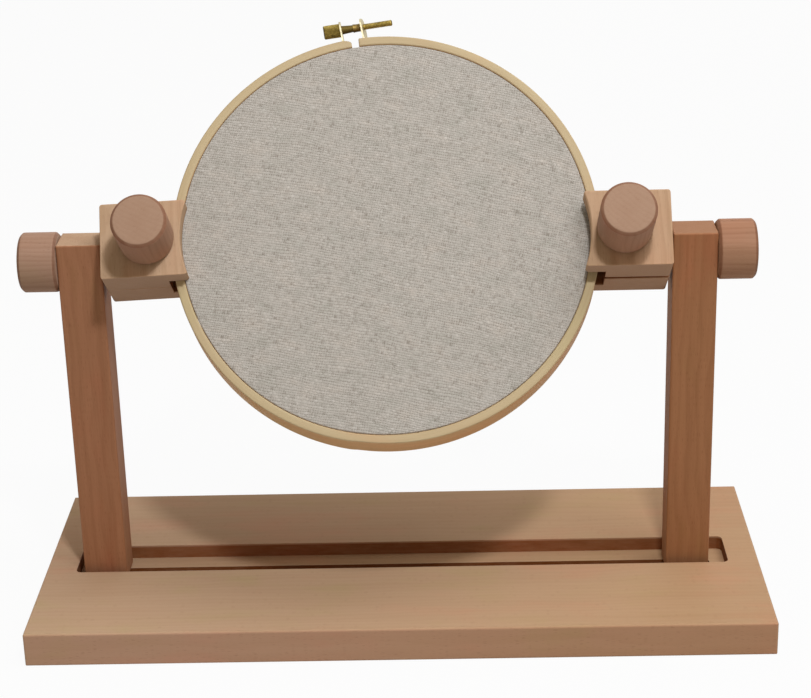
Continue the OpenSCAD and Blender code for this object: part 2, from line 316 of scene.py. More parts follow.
def eased(corners: Sequence[tuple[float, float]], ease: float, steps: int = 5) -> np.ndarray:
    """Rounds the inner corners of an open outline.

    Each inner corner C becomes the curve (1-t)^2 A + 2t(1-t) C + t^2 B, where A and B
    lie ease away from C along its two sides, or at half of a shorter side.

    Args:
        corners: The outline's corners in order.
        ease: How far from a corner its rounding starts.
        steps: Number of spans in one rounding.

    Returns:
        Points of the rounded outline, (n, 2).
    """
    line = np.asarray(corners, float)
    t = np.linspace(0, 1, steps + 1)[:, None]
    parts = [line[:1]]
    for before, corner, after in zip(line[:-2], line[1:-1], line[2:]):
        back, ahead = before - corner, after - corner
        start = corner + back * min(ease / np.linalg.norm(back), 0.5)
        end = corner + ahead * min(ease / np.linalg.norm(ahead), 0.5)
        parts.append((1 - t) ** 2 * start + 2 * t * (1 - t) * corner + t ** 2 * end)
    return np.concatenate(parts + [line[-1:]])


def lengths(line: np.ndarray) -> np.ndarray:
    """Distance along a line of points from its start to each point."""
    return np.concatenate([[0.0], np.cumsum(np.linalg.norm(np.diff(line, axis=0), axis=1))])


def rounded_loop(width: float, height: float, radius: float, steps: int = 6) -> np.ndarray:
    """A rectangle with round corners about the origin, closed, (n, 2).

    Each corner is a quarter circle of radius about a centre that lies radius in from
    both sides; the flat sides are the spans between the quarters.

    Args:
        width: Width of the rectangle.
        height: Its height.
        radius: Radius of its corners.
        steps: Number of spans in one corner.

    Returns:
        The loop's points.
    """
    turn = np.linspace(0, math.pi / 2, steps + 1)
    quarter = np.stack([np.cos(turn), np.sin(turn)], -1) * radius
    cx, cy = width / 2 - radius, height / 2 - radius
    spin = np.array([[0.0, 1.0], [-1.0, 0.0]])
    corner, parts = quarter, []
    for centre in ((cx, cy), (-cx, cy), (-cx, -cy), (cx, -cy)):
        parts.append(corner + centre)
        corner = corner @ spin
    loop = np.concatenate(parts)
    return np.concatenate([loop, loop[:1]])


def turned(axes: Axes, outline: np.ndarray, columns: int,
           relief: np.ndarray | None = None) -> Patch:
    """A surface turned about the Z of a frame.

    The point at outline (r, z) and angle a is (r' cos a, r' sin a, z), with r' = r plus
    the relief there. Its texture coordinate is the angle times the widest radius, and
    the length along the outline.

    Args:
        axes: The frame to turn in.
        outline: The outline's (r, z) points, (n, 2).
        columns: Number of spans in a full turn.
        relief: Height of the relief for each outline point and angle, (n, columns + 1).

    Returns:
        The turned surface.
    """
    angle = np.linspace(0, 2 * math.pi, columns + 1)
    radius = outline[:, 0][:, None] + (0 if relief is None else relief)
    radius = np.broadcast_to(radius, (len(outline), columns + 1))
    local = np.stack([radius * np.cos(angle), radius * np.sin(angle),
                      np.broadcast_to(outline[:, 1][:, None], radius.shape)], -1)
    along = np.broadcast_to(lengths(outline)[:, None], radius.shape)
    round_it = np.broadcast_to(angle * outline[:, 0].max(), radius.shape)
    return Patch(axes.place(local), np.stack([round_it, along], -1))


def thread(outline: np.ndarray, pitch: float, depth: float, first: float, last: float,
           columns: int) -> np.ndarray:
    """Relief of a screw thread on a turned rod.

    At height z and angle a the thread's phase is z / pitch - a / 2 pi, less its whole
    part. The relief is -depth times twice the distance of the phase from one half, and
    fades out over one pitch at both ends.

    Args:
        outline: The rod's (r, z) points, (n, 2).
        pitch: Travel of the thread in one turn.
        depth: Depth of the thread.
        first: Height at which the thread starts.
        last: Height at which it ends.
        columns: Number of spans in a full turn.

    Returns:
        The relief for each point and angle.
    """
    angle = np.linspace(0, 2 * math.pi, columns + 1)
    z = outline[:, 1][:, None]
    phase = z / pitch - angle / (2 * math.pi)
    phase = phase - np.floor(phase)
    fade = np.clip(np.minimum(z - first, last - z) / pitch, 0, 1)
    return -depth * 2 * np.abs(phase - 0.5) * fade


class Value:
    """A number that varies over a surface; Python's operators on it add Math nodes."""

    def __init__(self, shader: "Shader", socket: Socket) -> None:
        """Wraps one output of the shader's tree."""
        self.shader = shader
        self.socket = socket

    def maths(self, operation: str, *others: "Value | float") -> "Value":
        """One Math node on this value and the others, in that order."""
        return self.shader.maths(operation, self, *others)

    def __add__(self, other: "Value | float") -> "Value":
        """Sum."""
        return self.maths("ADD", other)

    def __radd__(self, other: float) -> "Value":
        """Sum, with a plain number first."""
        return self.maths("ADD", other)

    def __sub__(self, other: "Value | float") -> "Value":
        """Difference."""
        return self.maths("SUBTRACT", other)

    def __rsub__(self, other: float) -> "Value":
        """Difference, with a plain number first."""
        return self.shader.maths("SUBTRACT", other, self)

    def __mul__(self, other: "Value | float") -> "Value":
        """Product."""
        return self.maths("MULTIPLY", other)

    def __rmul__(self, other: float) -> "Value":
        """Product, with a plain number first."""
        return self.maths("MULTIPLY", other)

    def __truediv__(self, other: "Value | float") -> "Value":
        """Quotient."""
        return self.maths("DIVIDE", other)

    def __pow__(self, other: "Value | float") -> "Value":
        """Power."""
        return self.maths("POWER", other)

    def __abs__(self) -> "Value":
        """Size without the sign."""
        return self.maths("ABSOLUTE")

    def fraction(self) -> "Value":
        """What is left of it above its whole part."""
        return self.maths("FRACT")

    def whole(self) -> "Value":
        """Its whole part."""
        return self.maths("FLOOR")

    def least(self, other: "Value | float") -> "Value":
        """The smaller of the two."""
        return self.maths("MINIMUM", other)

    def most(self, other: "Value | float") -> "Value":
        """The larger of the two."""
        return self.maths("MAXIMUM", other)

    def step(self, low: float, high: float) -> "Value":
        """Rises smoothly from 0 at low to 1 at high; falls if high is the smaller.

        Args:
            low: Where it leaves 0.
            high: Where it reaches 1.

        Returns:
            The stepped value.
        """
        first, last = (0.0, 1.0) if high > low else (1.0, 0.0)
        ends = {"From Min": min(low, high), "From Max": max(low, high), "To Min": first, "To Max": last}
        settings = {"interpolation_type": "SMOOTHSTEP"}
        made = self.shader.node("ShaderNodeMapRange", settings, Value=self, **ends)
        return Value(self.shader, made.outputs[0])


class Shader:
    """The node tree of one material, around one Principled surface."""

    def __init__(self, name: str) -> None:
        """Starts the material with its surface and output joined.

        Args:
            name: The material's name.
        """
        self.material = bpy.data.materials.new(name)
        self.material.use_nodes = True
        self.tree = self.material.node_tree
        self.tree.nodes.clear()
        self.surface = self.node("ShaderNodeBsdfPrincipled")
        self.node("ShaderNodeOutputMaterial", Surface=self.surface.outputs[0])
        self.coordinates = self.node("ShaderNodeTexCoord")

    def node(self, kind: str, settings: dict[str, object] | None = None,
             **inputs: object) -> bpy.types.Node:
        """Adds any node.

        Args:
            kind: The node's type.
            settings: What is set on the node before its sockets, such as an operation.
            inputs: A value or a link for each named socket that is in use.

        Returns:
            The node.
        """
        made = self.tree.nodes.new(kind)
        for name, value in (settings or {}).items():
            setattr(made, name, value)
        for name, value in inputs.items():
            self.feed(next(s for s in made.inputs if s.enabled and s.name == name), value)
        return made

    def feed(self, socket: Socket, value: object) -> None:
        """Links a value or an output to a socket, or sets the socket to a number or colour."""
        if isinstance(value, Value):
            value = value.socket
        if isinstance(value, Socket):
            self.tree.links.new(value, socket)
        elif socket.type == "RGBA" and len(value) == 3:
            socket.default_value = (*value, 1.0)
        else:
            socket.default_value = value

    def maths(self, operation: str, *inputs: "Value | float") -> Value:
        """Adds a Math node whose sockets take the inputs in order.

        Args:
            operation: The node's operation.
            inputs: Its values or links.

        Returns:
            The node's result.
        """
        made = self.node("ShaderNodeMath", {"operation": operation})
        for socket, value in zip(made.inputs, inputs):
            self.feed(socket, value)
        return Value(self, made.outputs[0])

    def split(self, vector: Socket) -> tuple[Value, Value, Value]:
        """The three numbers of a vector."""
        made = self.node("ShaderNodeSeparateXYZ", Vector=vector)
        return tuple(Value(self, socket) for socket in made.outputs)

    def vector(self, x: "Value | float", y: "Value | float", z: "Value | float" = 0.0) -> Socket:
        """A vector made of three numbers."""
        return self.node("ShaderNodeCombineXYZ", X=x, Y=y, Z=z).outputs[0]

    def place_in(self, axes: Axes) -> tuple[Value, Value, Value]:
        """The point on the surface in a frame of its own, in millimetres.

        Args:
            axes: The frame, in the stand's frame at rest.

        Returns:
            The point's x, y and z.
        """
        mapped = self.node("ShaderNodeMapping", {"vector_type": "TEXTURE"},
                           Location=tuple(axes.origin), Rotation=axes.euler(), Scale=(MM, MM, MM),
                           Vector=self.coordinates.outputs["Object"])
        return self.split(mapped.outputs[0])

    def depth_in(self, axes: Axes, half: tuple[float, float, float]) -> tuple[Value, ...]:
        """How deep the point lies within each pair of faces of a box, in millimetres."""
        return tuple(size / MM - abs(place) for size, place in zip(half, self.place_in(axes)))

    def lay(self) -> tuple[Value, Value]:
        """The piece's own texture coordinate, in millimetres."""
        u, v, _ = self.split(self.coordinates.outputs["UV"])
        return u / MM, v / MM

    def facing(self, direction: np.ndarray) -> Value:
        """How squarely the surface faces along a direction of the piece at rest, 0 to 1.

        Args:
            direction: The direction, in the stand's frame.

        Returns:
            1 where the surface is square to it, 0 where it lies along it.
        """
        made = self.node("ShaderNodeVectorMath", {"operation": "DOT_PRODUCT"})
        self.feed(made.inputs[0], self.coordinates.outputs["Normal"])
        self.feed(made.inputs[1], tuple(direction))
        return abs(Value(self, made.outputs["Value"]))

    def noise(self, vector: Socket, detail: float = 2.0, roughness: float = 0.5) -> Value:
        """Soft noise about one unit across, from 0 to 1."""
        made = self.node("ShaderNodeTexNoise", Vector=vector, Scale=1.0, Detail=detail,
                         Roughness=roughness)
        return Value(self, made.outputs[0])

    def cells(self, vector: Socket) -> tuple[Value, Value]:
        """Distance from the nearest of scattered points, and a number of that point's own."""
        made = self.node("ShaderNodeTexVoronoi", Vector=vector, Scale=1.0)
        return Value(self, made.outputs["Distance"]), self.split(made.outputs["Color"])[0]

    def chance(self, vector: Socket) -> Value:
        """A random number for each vector, the same for the same vector."""
        return Value(self, self.node("ShaderNodeTexWhiteNoise", Vector=vector).outputs["Value"])

    def mix(self, factor: "Value | float", first: object, second: object,
            blend: str = "MIX") -> Socket:
        """A colour between two, or the second laid on the first by a blend mode.

        Args:
            factor: Share of the second colour.
            first: The first colour.
            second: The second colour.
            blend: How the second is laid on.

        Returns:
            The mixed colour.
        """
        settings = {"data_type": "RGBA", "blend_type": blend}
        made = self.node("ShaderNodeMix", settings, Factor=factor, A=first, B=second)
        return next(socket for socket in made.outputs if socket.enabled)

    def toned(self, share: "Value | float", colour: Socket, tone: object) -> Socket:
        """A colour that is multiplied by a tone to the given share."""
        return self.mix(share, colour, self.mix(1.0, colour, tone, "MULTIPLY"))

    def finish(self, colour: object, rough: "Value | float", height: Value, depth: float,
               **constants: object) -> bpy.types.Material:
        """Sets the surface.

        Args:
            colour: Its base colour.
            rough: Its roughness.
            height: Height of its relief.
            depth: Millimetres of relief for a height of 1.
            constants: Sockets of the surface that are the same all over, by name.

        Returns:
            The material.
        """
        self.feed(self.surface.inputs["Base Color"], colour)
        self.feed(self.surface.inputs["Roughness"], rough)
        bump = self.node("ShaderNodeBump", Strength=1.0, Distance=depth * MM, Height=height)
        self.feed(self.surface.inputs["Normal"], bump.outputs[0])
        for name, value in constants.items():
            self.feed(self.surface.inputs[name.replace("_", " ")], value)
        return self.material


@dataclass(frozen=True)
class Beech:
    """Finish of a stick of beech. Lengths are in millimetres, colours linear.

    The stick's own frame has X along the grain, Y across the growth rings' run and Z
    towards the bark. Rays are thin sheets in the plane of X and Z, so they are dashes
    on a face square to Z, broad flecks on one square to Y and fine lines on the ends.
    """

    name: str
    light: Rgb
    dark: Rgb
    fleck: Rgb
    end: Rgb = (0.44, 0.285, 0.190)
    # Tone on the flank faces: on the board it is painted shade, on the rings painted light.
    flank: Rgb = (1.0, 1.0, 1.0)
    rose: Rgb = (1.06, 0.93, 0.90)
    straw: Rgb = (0.97, 1.03, 0.95)
    ring_gap: float = 3.4
    ring_depth: float = 0.14
    heart: tuple[float, float] = (35.0, -70.0)
    wander: float = 11.0
    wander_size: tuple[float, float] = (95.0, 26.0)
    fibre_size: tuple[float, float] = (24.0, 0.7)
    pore_size: tuple[float, float] = (2.2, 0.16)
    band_size: tuple[float, float] = (120.0, 7.0)
    tint_size: tuple[float, float] = (60.0, 24.0)
    tint_share: float = 0.8
    speck_size: tuple[float, float, float] = (9.0, 0.35, 2.2)
    fleck_size: tuple[float, float, float] = (3.4, 0.42, 8.0)
    fleck_share: float = 0.5
    fleck_depth: float = 0.5
    streak: float = 0.42
    cloud: float = 0.55
    rough: float = 0.60
    relief: float = 0.03
    seed: float = 0.0

    def toned(self, name: str, tone: Rgb, seed: float) -> "Beech":
        """The same wood with its colours multiplied by a tone: another stick's own tone, and on the
        right post and the right tilt knob a darker tone that is painted shade.

        Args:
            name: The new finish's name.
            tone: What its colours are multiplied by.
            seed: The new stick's seed.

        Returns:
            The new finish.
        """
        parts = ("light", "dark", "fleck", "end")
        colours = {part: tuple(c * t for c, t in zip(getattr(self, part), tone))
                   for part in parts}
        return replace(self, name=name, seed=seed, **colours)

    def dress(self, axes: Axes, *marks: "Mark") -> bpy.types.Material:
        """Makes the finish for a piece that is cut from the solid.

        Args:
            axes: The stick's frame.
            marks: What wear and tools have done to the piece.

        Returns:
            The material.
        """
        shader = Shader(self.name)
        along, across, out = shader.place_in(axes)
        faces = shader.facing(axes.x).step(0.55, 0.90), shader.facing(axes.z).step(0.55, 0.90)
        return self._finish(shader, along, across, out, faces, marks)

    def dress_bent(self, axes: Axes) -> bpy.types.Material:
        """Makes the finish for a bent strip, with the grain along its texture coordinate.

        Args:
            axes: A frame whose Z is the axis that the strip is bent about.

        Returns:
            The material.
        """
        shader = Shader(self.name)
        along, across = shader.lay()
        side = shader.facing(axes.z).step(0.7, 0.3)
        return self._finish(shader, along, across, across * 0.25, (side * 0.0, side), ())

    def _finish(self, shader: Shader, along: Value, across: Value, out: Value,
                faces: tuple[Value, Value], marks: Sequence["Mark"]) -> bpy.types.Material:
        """Builds rings, fibres, rays and tone, and lays them on one another.

        A growth ring's phase is the distance from the heart, plus a slow wander, over
        the ring gap; its late wood is the last part of the phase. Fibres are noise drawn
        out along the grain. Rays are scattered cells, drawn out along and outwards.

        Args:
            shader: The finish's shader.
            along: Place along the grain.
            across: Place across the grain.
            out: Place towards the bark.
            faces: Where the surface is end grain, and where it is a flank.
            marks: What is laid on the bare wood.

        Returns:
            The material.
        """
        here = along + self.seed * SEED_STEP

        def grain(long: float, wide: float, detail: float, roughness: float = 0.5) -> Value:
            """Noise drawn out along the grain."""
            return shader.noise(shader.vector(here / long, across / wide, out / wide), detail, roughness)

        wander = grain(*self.wander_size, 3.0)
        reach_y = across - self.heart[0]
        reach_z = out - self.heart[1]
        radius = (reach_y * reach_y + reach_z * reach_z) ** 0.5
        phase = ((radius + wander * self.wander) / self.ring_gap).fraction()
        late = phase.step(0.25, 0.85) * phase.step(1.0, 0.88)
        fibre = grain(*self.fibre_size, 5.0, 0.62)
        pore = grain(*self.pore_size, 1.0)
        band = grain(*self.band_size, 3.0, 0.55)
        tint = grain(*self.tint_size, 3.0, 0.55)
        long, thin, deep = self.fleck_size
        far, own = shader.cells(shader.vector(here / long, across / thin, out / deep))
        end_grain, flank = faces
        ray = far.step(0.46, 0.10) * own.step(1.0 - self.fleck_share, 1.0) * (flank * 0.75 + 0.25)
        shade = (fibre - 0.5) * self.streak + (band - 0.5) * self.cloud + late * self.ring_depth
        colour = shader.mix((shade + 0.28).step(-0.15, 0.85), self.light, self.dark)
        colour = shader.mix(tint.step(0.50, 0.80) * self.tint_share, colour, self.rose, "MULTIPLY")
        colour = shader.mix(tint.step(0.48, 0.22) * self.tint_share, colour, self.straw, "MULTIPLY")
        colour = shader.mix(ray * self.fleck_depth, colour, self.fleck)
        colour = shader.mix(pore.step(0.58, 0.80) * 0.16, colour, self.fleck)
        rough = self.rough + fibre * 0.10 + ray * 0.04
        height = fibre * 0.5 - ray * 0.3 - pore.step(0.52, 0.8) * 0.4
        # The flank tone: painted shade on the board's front and back, painted light on the rings' inner
        # and outer faces.
        colour = shader.toned(flank, colour, self.flank)
        cut = shader.mix((shade + 0.35).step(-0.1, 0.9) * 0.45, self.end, self.dark)
        long, thin, deep = self.speck_size
        speck = shader.noise(shader.vector(here / long, across / thin, out / deep))
        cut = shader.mix(speck.step(0.50, 0.80) * 0.25, cut, self.fleck)
        colour = shader.mix(end_grain, colour, cut)
        rough = rough + end_grain * 0.12
        for mark in marks:
            colour, rough = mark.lay_on(shader, colour, rough)
        return shader.finish(colour, rough, height, self.relief, Specular_IOR_Level=0.20)


class Mark:
    """Something that growth, wear or a tool has left on a piece of wood."""

    def lay_on(self, shader: Shader, colour: Socket, rough: Value) -> tuple[Socket, Value]:
        """Lays the mark on a colour and a roughness."""
        raise NotImplementedError


@dataclass(frozen=True)
class WornEdges(Mark):
    """Edges of a block that handling has rubbed, paler partly as wear and partly as a painted highlight,
    in a frame through its middle.
    """

    axes: Axes
    half: tuple[float, float, float]
    reach: float = 1.3
    rub_size: float = 6.0
    strength: float = 0.35
    shine: Rgb = (1.20, 1.17, 1.12)

    def lay_on(self, shader: Shader, colour: Socket, rough: Value) -> tuple[Socket, Value]:
        """Makes the block's edges paler, partly as wear and partly as a painted highlight, and smoother.

        With the distances of the point from the block's three pairs of faces, the
        distance from an edge is the middle one: the least of the largest of each two.

        Args:
            shader: The finish's shader.
            colour: The wood's colour so far.
            rough: The wood's roughness so far.

        Returns:
            The colour and the roughness with the mark on them.
        """
        x, y, z = shader.depth_in(self.axes, self.half)
        nearest = x.most(y).least(y.most(z)).least(x.most(z))
        rub = shader.noise(shader.vector(*(d / self.rub_size for d in (x, y, z))), 3.0)
        # Paler edges: partly wear, partly a painted highlight.
        wear_and_highlight = (nearest + rub * 0.9 - 0.45).step(self.reach, 0.15)
        return shader.toned(wear_and_highlight * self.strength, colour, self.shine), rough - wear_and_highlight * 0.08


@dataclass(frozen=True)
class CutterBurn(Mark):
    """The browner faces of a cut: partly where the cutter has run warm, partly painted shade that stands
    in for the shade inside the cut.
    """

    axes: Axes
    half: tuple[float, float, float]
    brown: Rgb = (0.45, 0.22, 0.055)
    every_face: bool = False
    fade: float = 0.9
    streak_size: tuple[float, float] = (9.0, 2.0)

    def lay_on(self, shader: Shader, colour: Socket, rough: Value) -> tuple[Socket, Value]:
        """Browns the upright faces inside the cut's box, or every face, less at its mouth, as cutter
        burn and painted shade.

        Args:
            shader: The finish's shader.
            colour: The wood's colour so far.
            rough: The wood's roughness so far.

        Returns:
            The colour and the roughness with the mark on them.
        """
        x, y, z = shader.depth_in(self.axes, self.half)
        long, wide = self.streak_size
        streak = shader.noise(shader.vector(x / long, y / wide, z / wide), 3.0)
        # Painted shade inside the cut, with some cutter burn: strongest deep in the cut and fading at
        # its mouth.
        burnt_and_shaded = x.least(y).least(z).step(0.0, self.fade) * (streak * 0.5 + 0.65)
        if not self.every_face:
            burnt_and_shaded = burnt_and_shaded * shader.facing(self.axes.z).step(0.7, 0.3)
        return shader.toned(burnt_and_shaded, colour, self.brown), rough + burnt_and_shaded * 0.1


@dataclass(frozen=True)
class LongDrift(Mark):
    """The slow change of a plank's tone from one end to the other."""

    axes: Axes
    half: float
    first: Rgb
    last: Rgb

    def lay_on(self, shader: Shader, colour: Socket, rough: Value) -> tuple[Socket, Value]:
        """Multiplies the colour by a tone between the first end's and the last's.

        Args:
            shader: The finish's shader.
            colour: The wood's colour so far.
            rough: The wood's roughness so far.

        Returns:
            The colour and the roughness with the mark on them.
        """
        along = shader.place_in(self.axes)[0]
        tone = shader.mix(along.step(-self.half / MM, self.half / MM), self.first, self.last)
        return shader.mix(1.0, colour, tone, "MULTIPLY"), rough


@dataclass(frozen=True)
class DarkRim(Mark):
    """A painted dark line on the chamfers of a turned knob: painted shade that stands in for the shade
    there.
    """

    axes: Axes
    radius: float
    half: float
    chamfer: float
    stain: Rgb = (0.60, 0.47, 0.40)
    patch_size: float = 5.0

    def lay_on(self, shader: Shader, colour: Socket, rough: Value) -> tuple[Socket, Value]:
        """Darkens both chamfers with painted shade, where a point is near the side and near an end.

        Args:
            shader: The finish's shader.
            colour: The wood's colour so far.
            rough: The wood's roughness so far.

        Returns:
            The colour and the roughness with the mark on them.
        """
        x, y, z = shader.place_in(self.axes)
        from_side = self.radius / MM - (x * x + y * y) ** 0.5
        from_end = self.half / MM - abs(z)
        patchy = shader.noise(shader.vector(*(d / self.patch_size for d in (x, y, z))), 3.0)
        # Painted shade on both chamfers, patchy along them.
        line = from_side.most(from_end).step(self.chamfer / MM * 1.2, self.chamfer / MM * 0.75)
        line = line * (patchy * 0.7 + 0.45)
        return shader.toned(line, colour, self.stain), rough - line * 0.05


@dataclass(frozen=True)
class Linen:
    """Finish of plain-woven natural linen. Lengths are in millimetres, colours linear."""

    name: str = "natural_linen"
    warp: Rgb = (0.450, 0.416, 0.363)
    weft: Rgb = (0.476, 0.440, 0.386)
    flax: Rgb = (0.260, 0.228, 0.188)
    bleached: Rgb = (0.610, 0.575, 0.518)
    hollow: Rgb = (0.215, 0.188, 0.152)
    rose: Rgb = (1.07, 1.045, 1.03)
    moss: Rgb = (0.90, 0.915, 0.90)
    warp_pitch: float = 1.15
    weft_pitch: float = 1.28
    lie: float = math.radians(-12.0)
    bow: float = 0.00035
    crimp: float = 0.30
    sway: float = 3.0
    sway_size: tuple[float, float] = (24.0, 24.0)
    pull: float = 4.2
    pull_size: tuple[float, float] = (36.0, 15.0)
    cloud_size: tuple[float, float] = (17.0, 10.0)
    patch_size: tuple[float, float] = (3.6, 1.5)
    patch_share: float = 0.55
    slub_size: tuple[float, float] = (4.6, 2.0)
    slub_share: float = 0.45
    fuzz_size: float = 0.16
    relief: float = 0.20

    def dress(self) -> bpy.types.Material:
        """Makes the finish from the cloth's own texture coordinate.

        The weft lies at a slant and bows by bow x^2. Thread numbers are the whole parts
        of u and v over the pitch. A thread's height is a half round across it plus a
        wave along it that is up at every other crossing; the warp's and the weft's waves
        are opposite, and the higher thread shows.

        Returns:
            The material.
        """
        shader = Shader(self.name)
        x, y = shader.lay()
        across = x * math.cos(self.lie) + y * math.sin(self.lie)
        along = y * math.cos(self.lie) - x * math.sin(self.lie) + x * x * self.bow

        def drift(size: tuple[float, float], detail: float, roughness: float = 0.5,
                  layer: float = 0.0) -> Value:
            """Noise over the cloth, size[0] wide with the weft and size[1] across it."""
            at = shader.vector(across / size[0], along / size[1], layer)
            return shader.noise(at, detail, roughness)

        u = across / self.warp_pitch + drift(self.sway_size, 3.0) * self.sway
        v = along / self.weft_pitch + drift(self.pull_size, 4.0, layer=7.0) * self.pull
        i, j = u.whole(), v.whole()
        over, under = (shader.maths("SINE", turn * math.pi) * self.crimp for turn in (v + i, u + j))
        warp = self._thread(shader, u, i, v, 3.0) * 0.85 + over
        weft = self._thread(shader, v, j, u, 11.0) - under + 0.08
        top = (warp - weft).step(-0.10, 0.10)
        colour = shader.mix(top, self._yarn(shader, j, u, self.weft, 19.0, 1.0),
                            self._yarn(shader, i, v, self.warp, 5.0, 0.6))
        height = warp.most(weft)
        # Painted shade in the low places between the threads.
        colour = shader.mix(height.step(0.80, 0.15) * 0.9, colour, self.hollow)
        cloud = drift(self.cloud_size, 4.0, 0.66)
        colour = shader.mix(cloud.step(0.48, 0.72), colour, self.rose, "MULTIPLY")
        colour = shader.mix(cloud.step(0.52, 0.28), colour, self.moss, "MULTIPLY")
        patch = drift(self.patch_size, 3.0, 0.7, layer=3.0)
        colour = shader.mix(patch.step(0.54, 0.76) * self.patch_share, colour, self.bleached)
        colour = shader.mix(patch.step(0.48, 0.26) * self.patch_share, colour, self.flax)
        slubs = self._slubs(shader, across + 51.0, along + 33.0)
        colour = shader.mix(slubs * self.slub_share, colour, self.flax)
        fuzz = drift((self.fuzz_size, self.fuzz_size), 2.0)
        return shader.finish(colour, 0.9, height * 0.8 + fuzz * 0.3, self.relief,
                             Specular_IOR_Level=0.25, Sheen_Weight=0.15, Sheen_Roughness=0.5)

    def _thread(self, shader: Shader, across: Value, number: Value, along: Value, seed: float) -> Value:
        """Height of one set of threads: a half round, wider where the thread has a slub.

        Args:
            shader: The finish's shader.
            across: Place across the threads.
            number: The thread's number.
            along: Place along the threads.
            seed: What sets this set of threads apart.

        Returns:
            The height.
        """
        slub = shader.noise(shader.vector(number * 7.31 + seed, along / 4.0), 1.0)
        middle = abs(across.fraction() - 0.5) * (1.55 - slub * 0.85)
        return (1.0 - middle * middle * 3.2) * 0.8 + slub.step(0.5, 0.8) * 0.3

    def _yarn(self, shader: Shader, number: Value, along: Value, colour: Rgb, seed: float,
              depth: float) -> Socket:
        """Colour of one set of threads: each has its own tone, paler and darker along it.

        Args:
            shader: The finish's shader.
            number: The thread's number.
            along: Place along the threads.
            colour: The yarn's middle tone.
            seed: What sets this set of threads apart.
            depth: How strongly the tone varies.

        Returns:
            The colour.
        """
        own = shader.chance(shader.vector(number, seed))
        run = shader.noise(shader.vector(number * 5.17 + seed, along / 3.0), 3.0, 0.7) + own * 0.08
        tinted = shader.mix(run.step(0.54, 0.86) * depth * 0.7, colour, self.bleached)
        return shader.mix(run.step(0.54, 0.30) * depth * 0.85, tinted, self.flax)

    def _slubs(self, shader: Shader, across: Value, along: Value) -> Value:
        """Scattered short knots in the yarn, longer along the weft.

        Args:
            shader: The finish's shader.
            across: Place across the cloth.
            along: Place along it.

        Returns:
            1 on a knot, 0 elsewhere.
        """
        long, wide = self.slub_size
        far, own = shader.cells(shader.vector(across / long, along / wide))
        return far.step(0.34, 0.08) * own.step(0.55, 0.95)


@dataclass(frozen=True)
class Metal:
    """Finish of a turned or plated metal part. Lengths are in millimetres."""

    name: str
    bright: Rgb
    dull: Rgb
    rough: float
    stain: float = 0.5
    cloud_size: float = 3.0
    mark_size: tuple[float, float] = (0.12, 0.9)
    relief: float = 0.01

    def dress(self, grooves: "Grooves | None" = None) -> bpy.types.Material:
        """Makes the finish: a bright ground, clouds of dull stain and fine tool marks.

        Args:
            grooves: The grooved part whose low places hold dirt, if it is one.

        Returns:
            The material.
        """
        shader = Shader(self.name)
        x, y, z = shader.split(shader.coordinates.outputs["Object"])
        across, along = (size * MM for size in self.mark_size)
        cloud = shader.noise(shader.vector(*(d / (self.cloud_size * MM) for d in (x, y, z))), 4.0, 0.65)
        mark = shader.noise(shader.vector(x / across, y / along, z / along))
        stain = cloud.step(0.35, 0.75) * self.stain
        if grooves is not None:
            stain = stain.most(grooves.dirt(shader))
        colour = shader.mix(stain, self.bright, self.dull)
        rough = self.rough + stain * 0.3 + mark * 0.06
        return shader.finish(colour, rough, mark * 0.4 + cloud * 0.6, self.relief, Metallic=1.0)


@dataclass(frozen=True)
class Grooves:
    """A grooved head on a grooved rod, whose grooves hold dirt. Lengths in millimetres."""

    axes: Axes
    head_radius: float
    head_end: float
    rod_radius: float
    shoulder_end: float
    depth: float = 0.30
    shoulder_dirt: float = 0.85

    def dirt(self, shader: Shader) -> Value:
        """1 in the bottom of a groove, 0 on the crests, and nearly 1 on the rod's shoulder.

        The depth of a point is the head's or the rod's radius, whichever it belongs to,
        less its distance from their common axis.

        Args:
            shader: The finish's shader.

        Returns:
            The share of dirt.
        """
        x, y, z = shader.place_in(self.axes)
        on_head = z.step(self.head_end + 0.05, self.head_end - 0.05)
        crest = on_head * (self.head_radius - self.rod_radius) + self.rod_radius
        below = crest - (x * x + y * y) ** 0.5
        on_shoulder = z.step(self.shoulder_end + 0.4, self.shoulder_end - 0.4) * (1.0 - on_head)
        in_groove = below.step(0.03, self.depth) * below.step(self.head_radius, self.depth * 2.0)
        return in_groove.most(on_shoulder * self.shoulder_dirt)


# The board's flank tone darkens its front and back faces: painted shade.
BOARD = Beech("board_beech", (0.525, 0.330, 0.195), (0.430, 0.252, 0.134), (0.300, 0.160, 0.080),
              flank=(0.98, 0.89, 0.91), rose=(1.09, 0.92, 0.93), straw=(0.94, 1.03, 0.87),
              ring_depth=0.08, heart=(60.0, -95.0), fleck_size=(3.2, 0.45, 4.0), streak=0.14,
              cloud=0.38, seed=1.0)
LEFT_POST = Beech("left_post_beech", (0.430, 0.199, 0.101), (0.302, 0.130, 0.060),
                  (0.213, 0.085, 0.038), end=(0.545, 0.375, 0.240), rose=(1.08, 0.90, 0.90),
                  straw=(0.90, 1.02, 0.86), ring_gap=2.6, streak=0.50, cloud=0.75, seed=2.0)
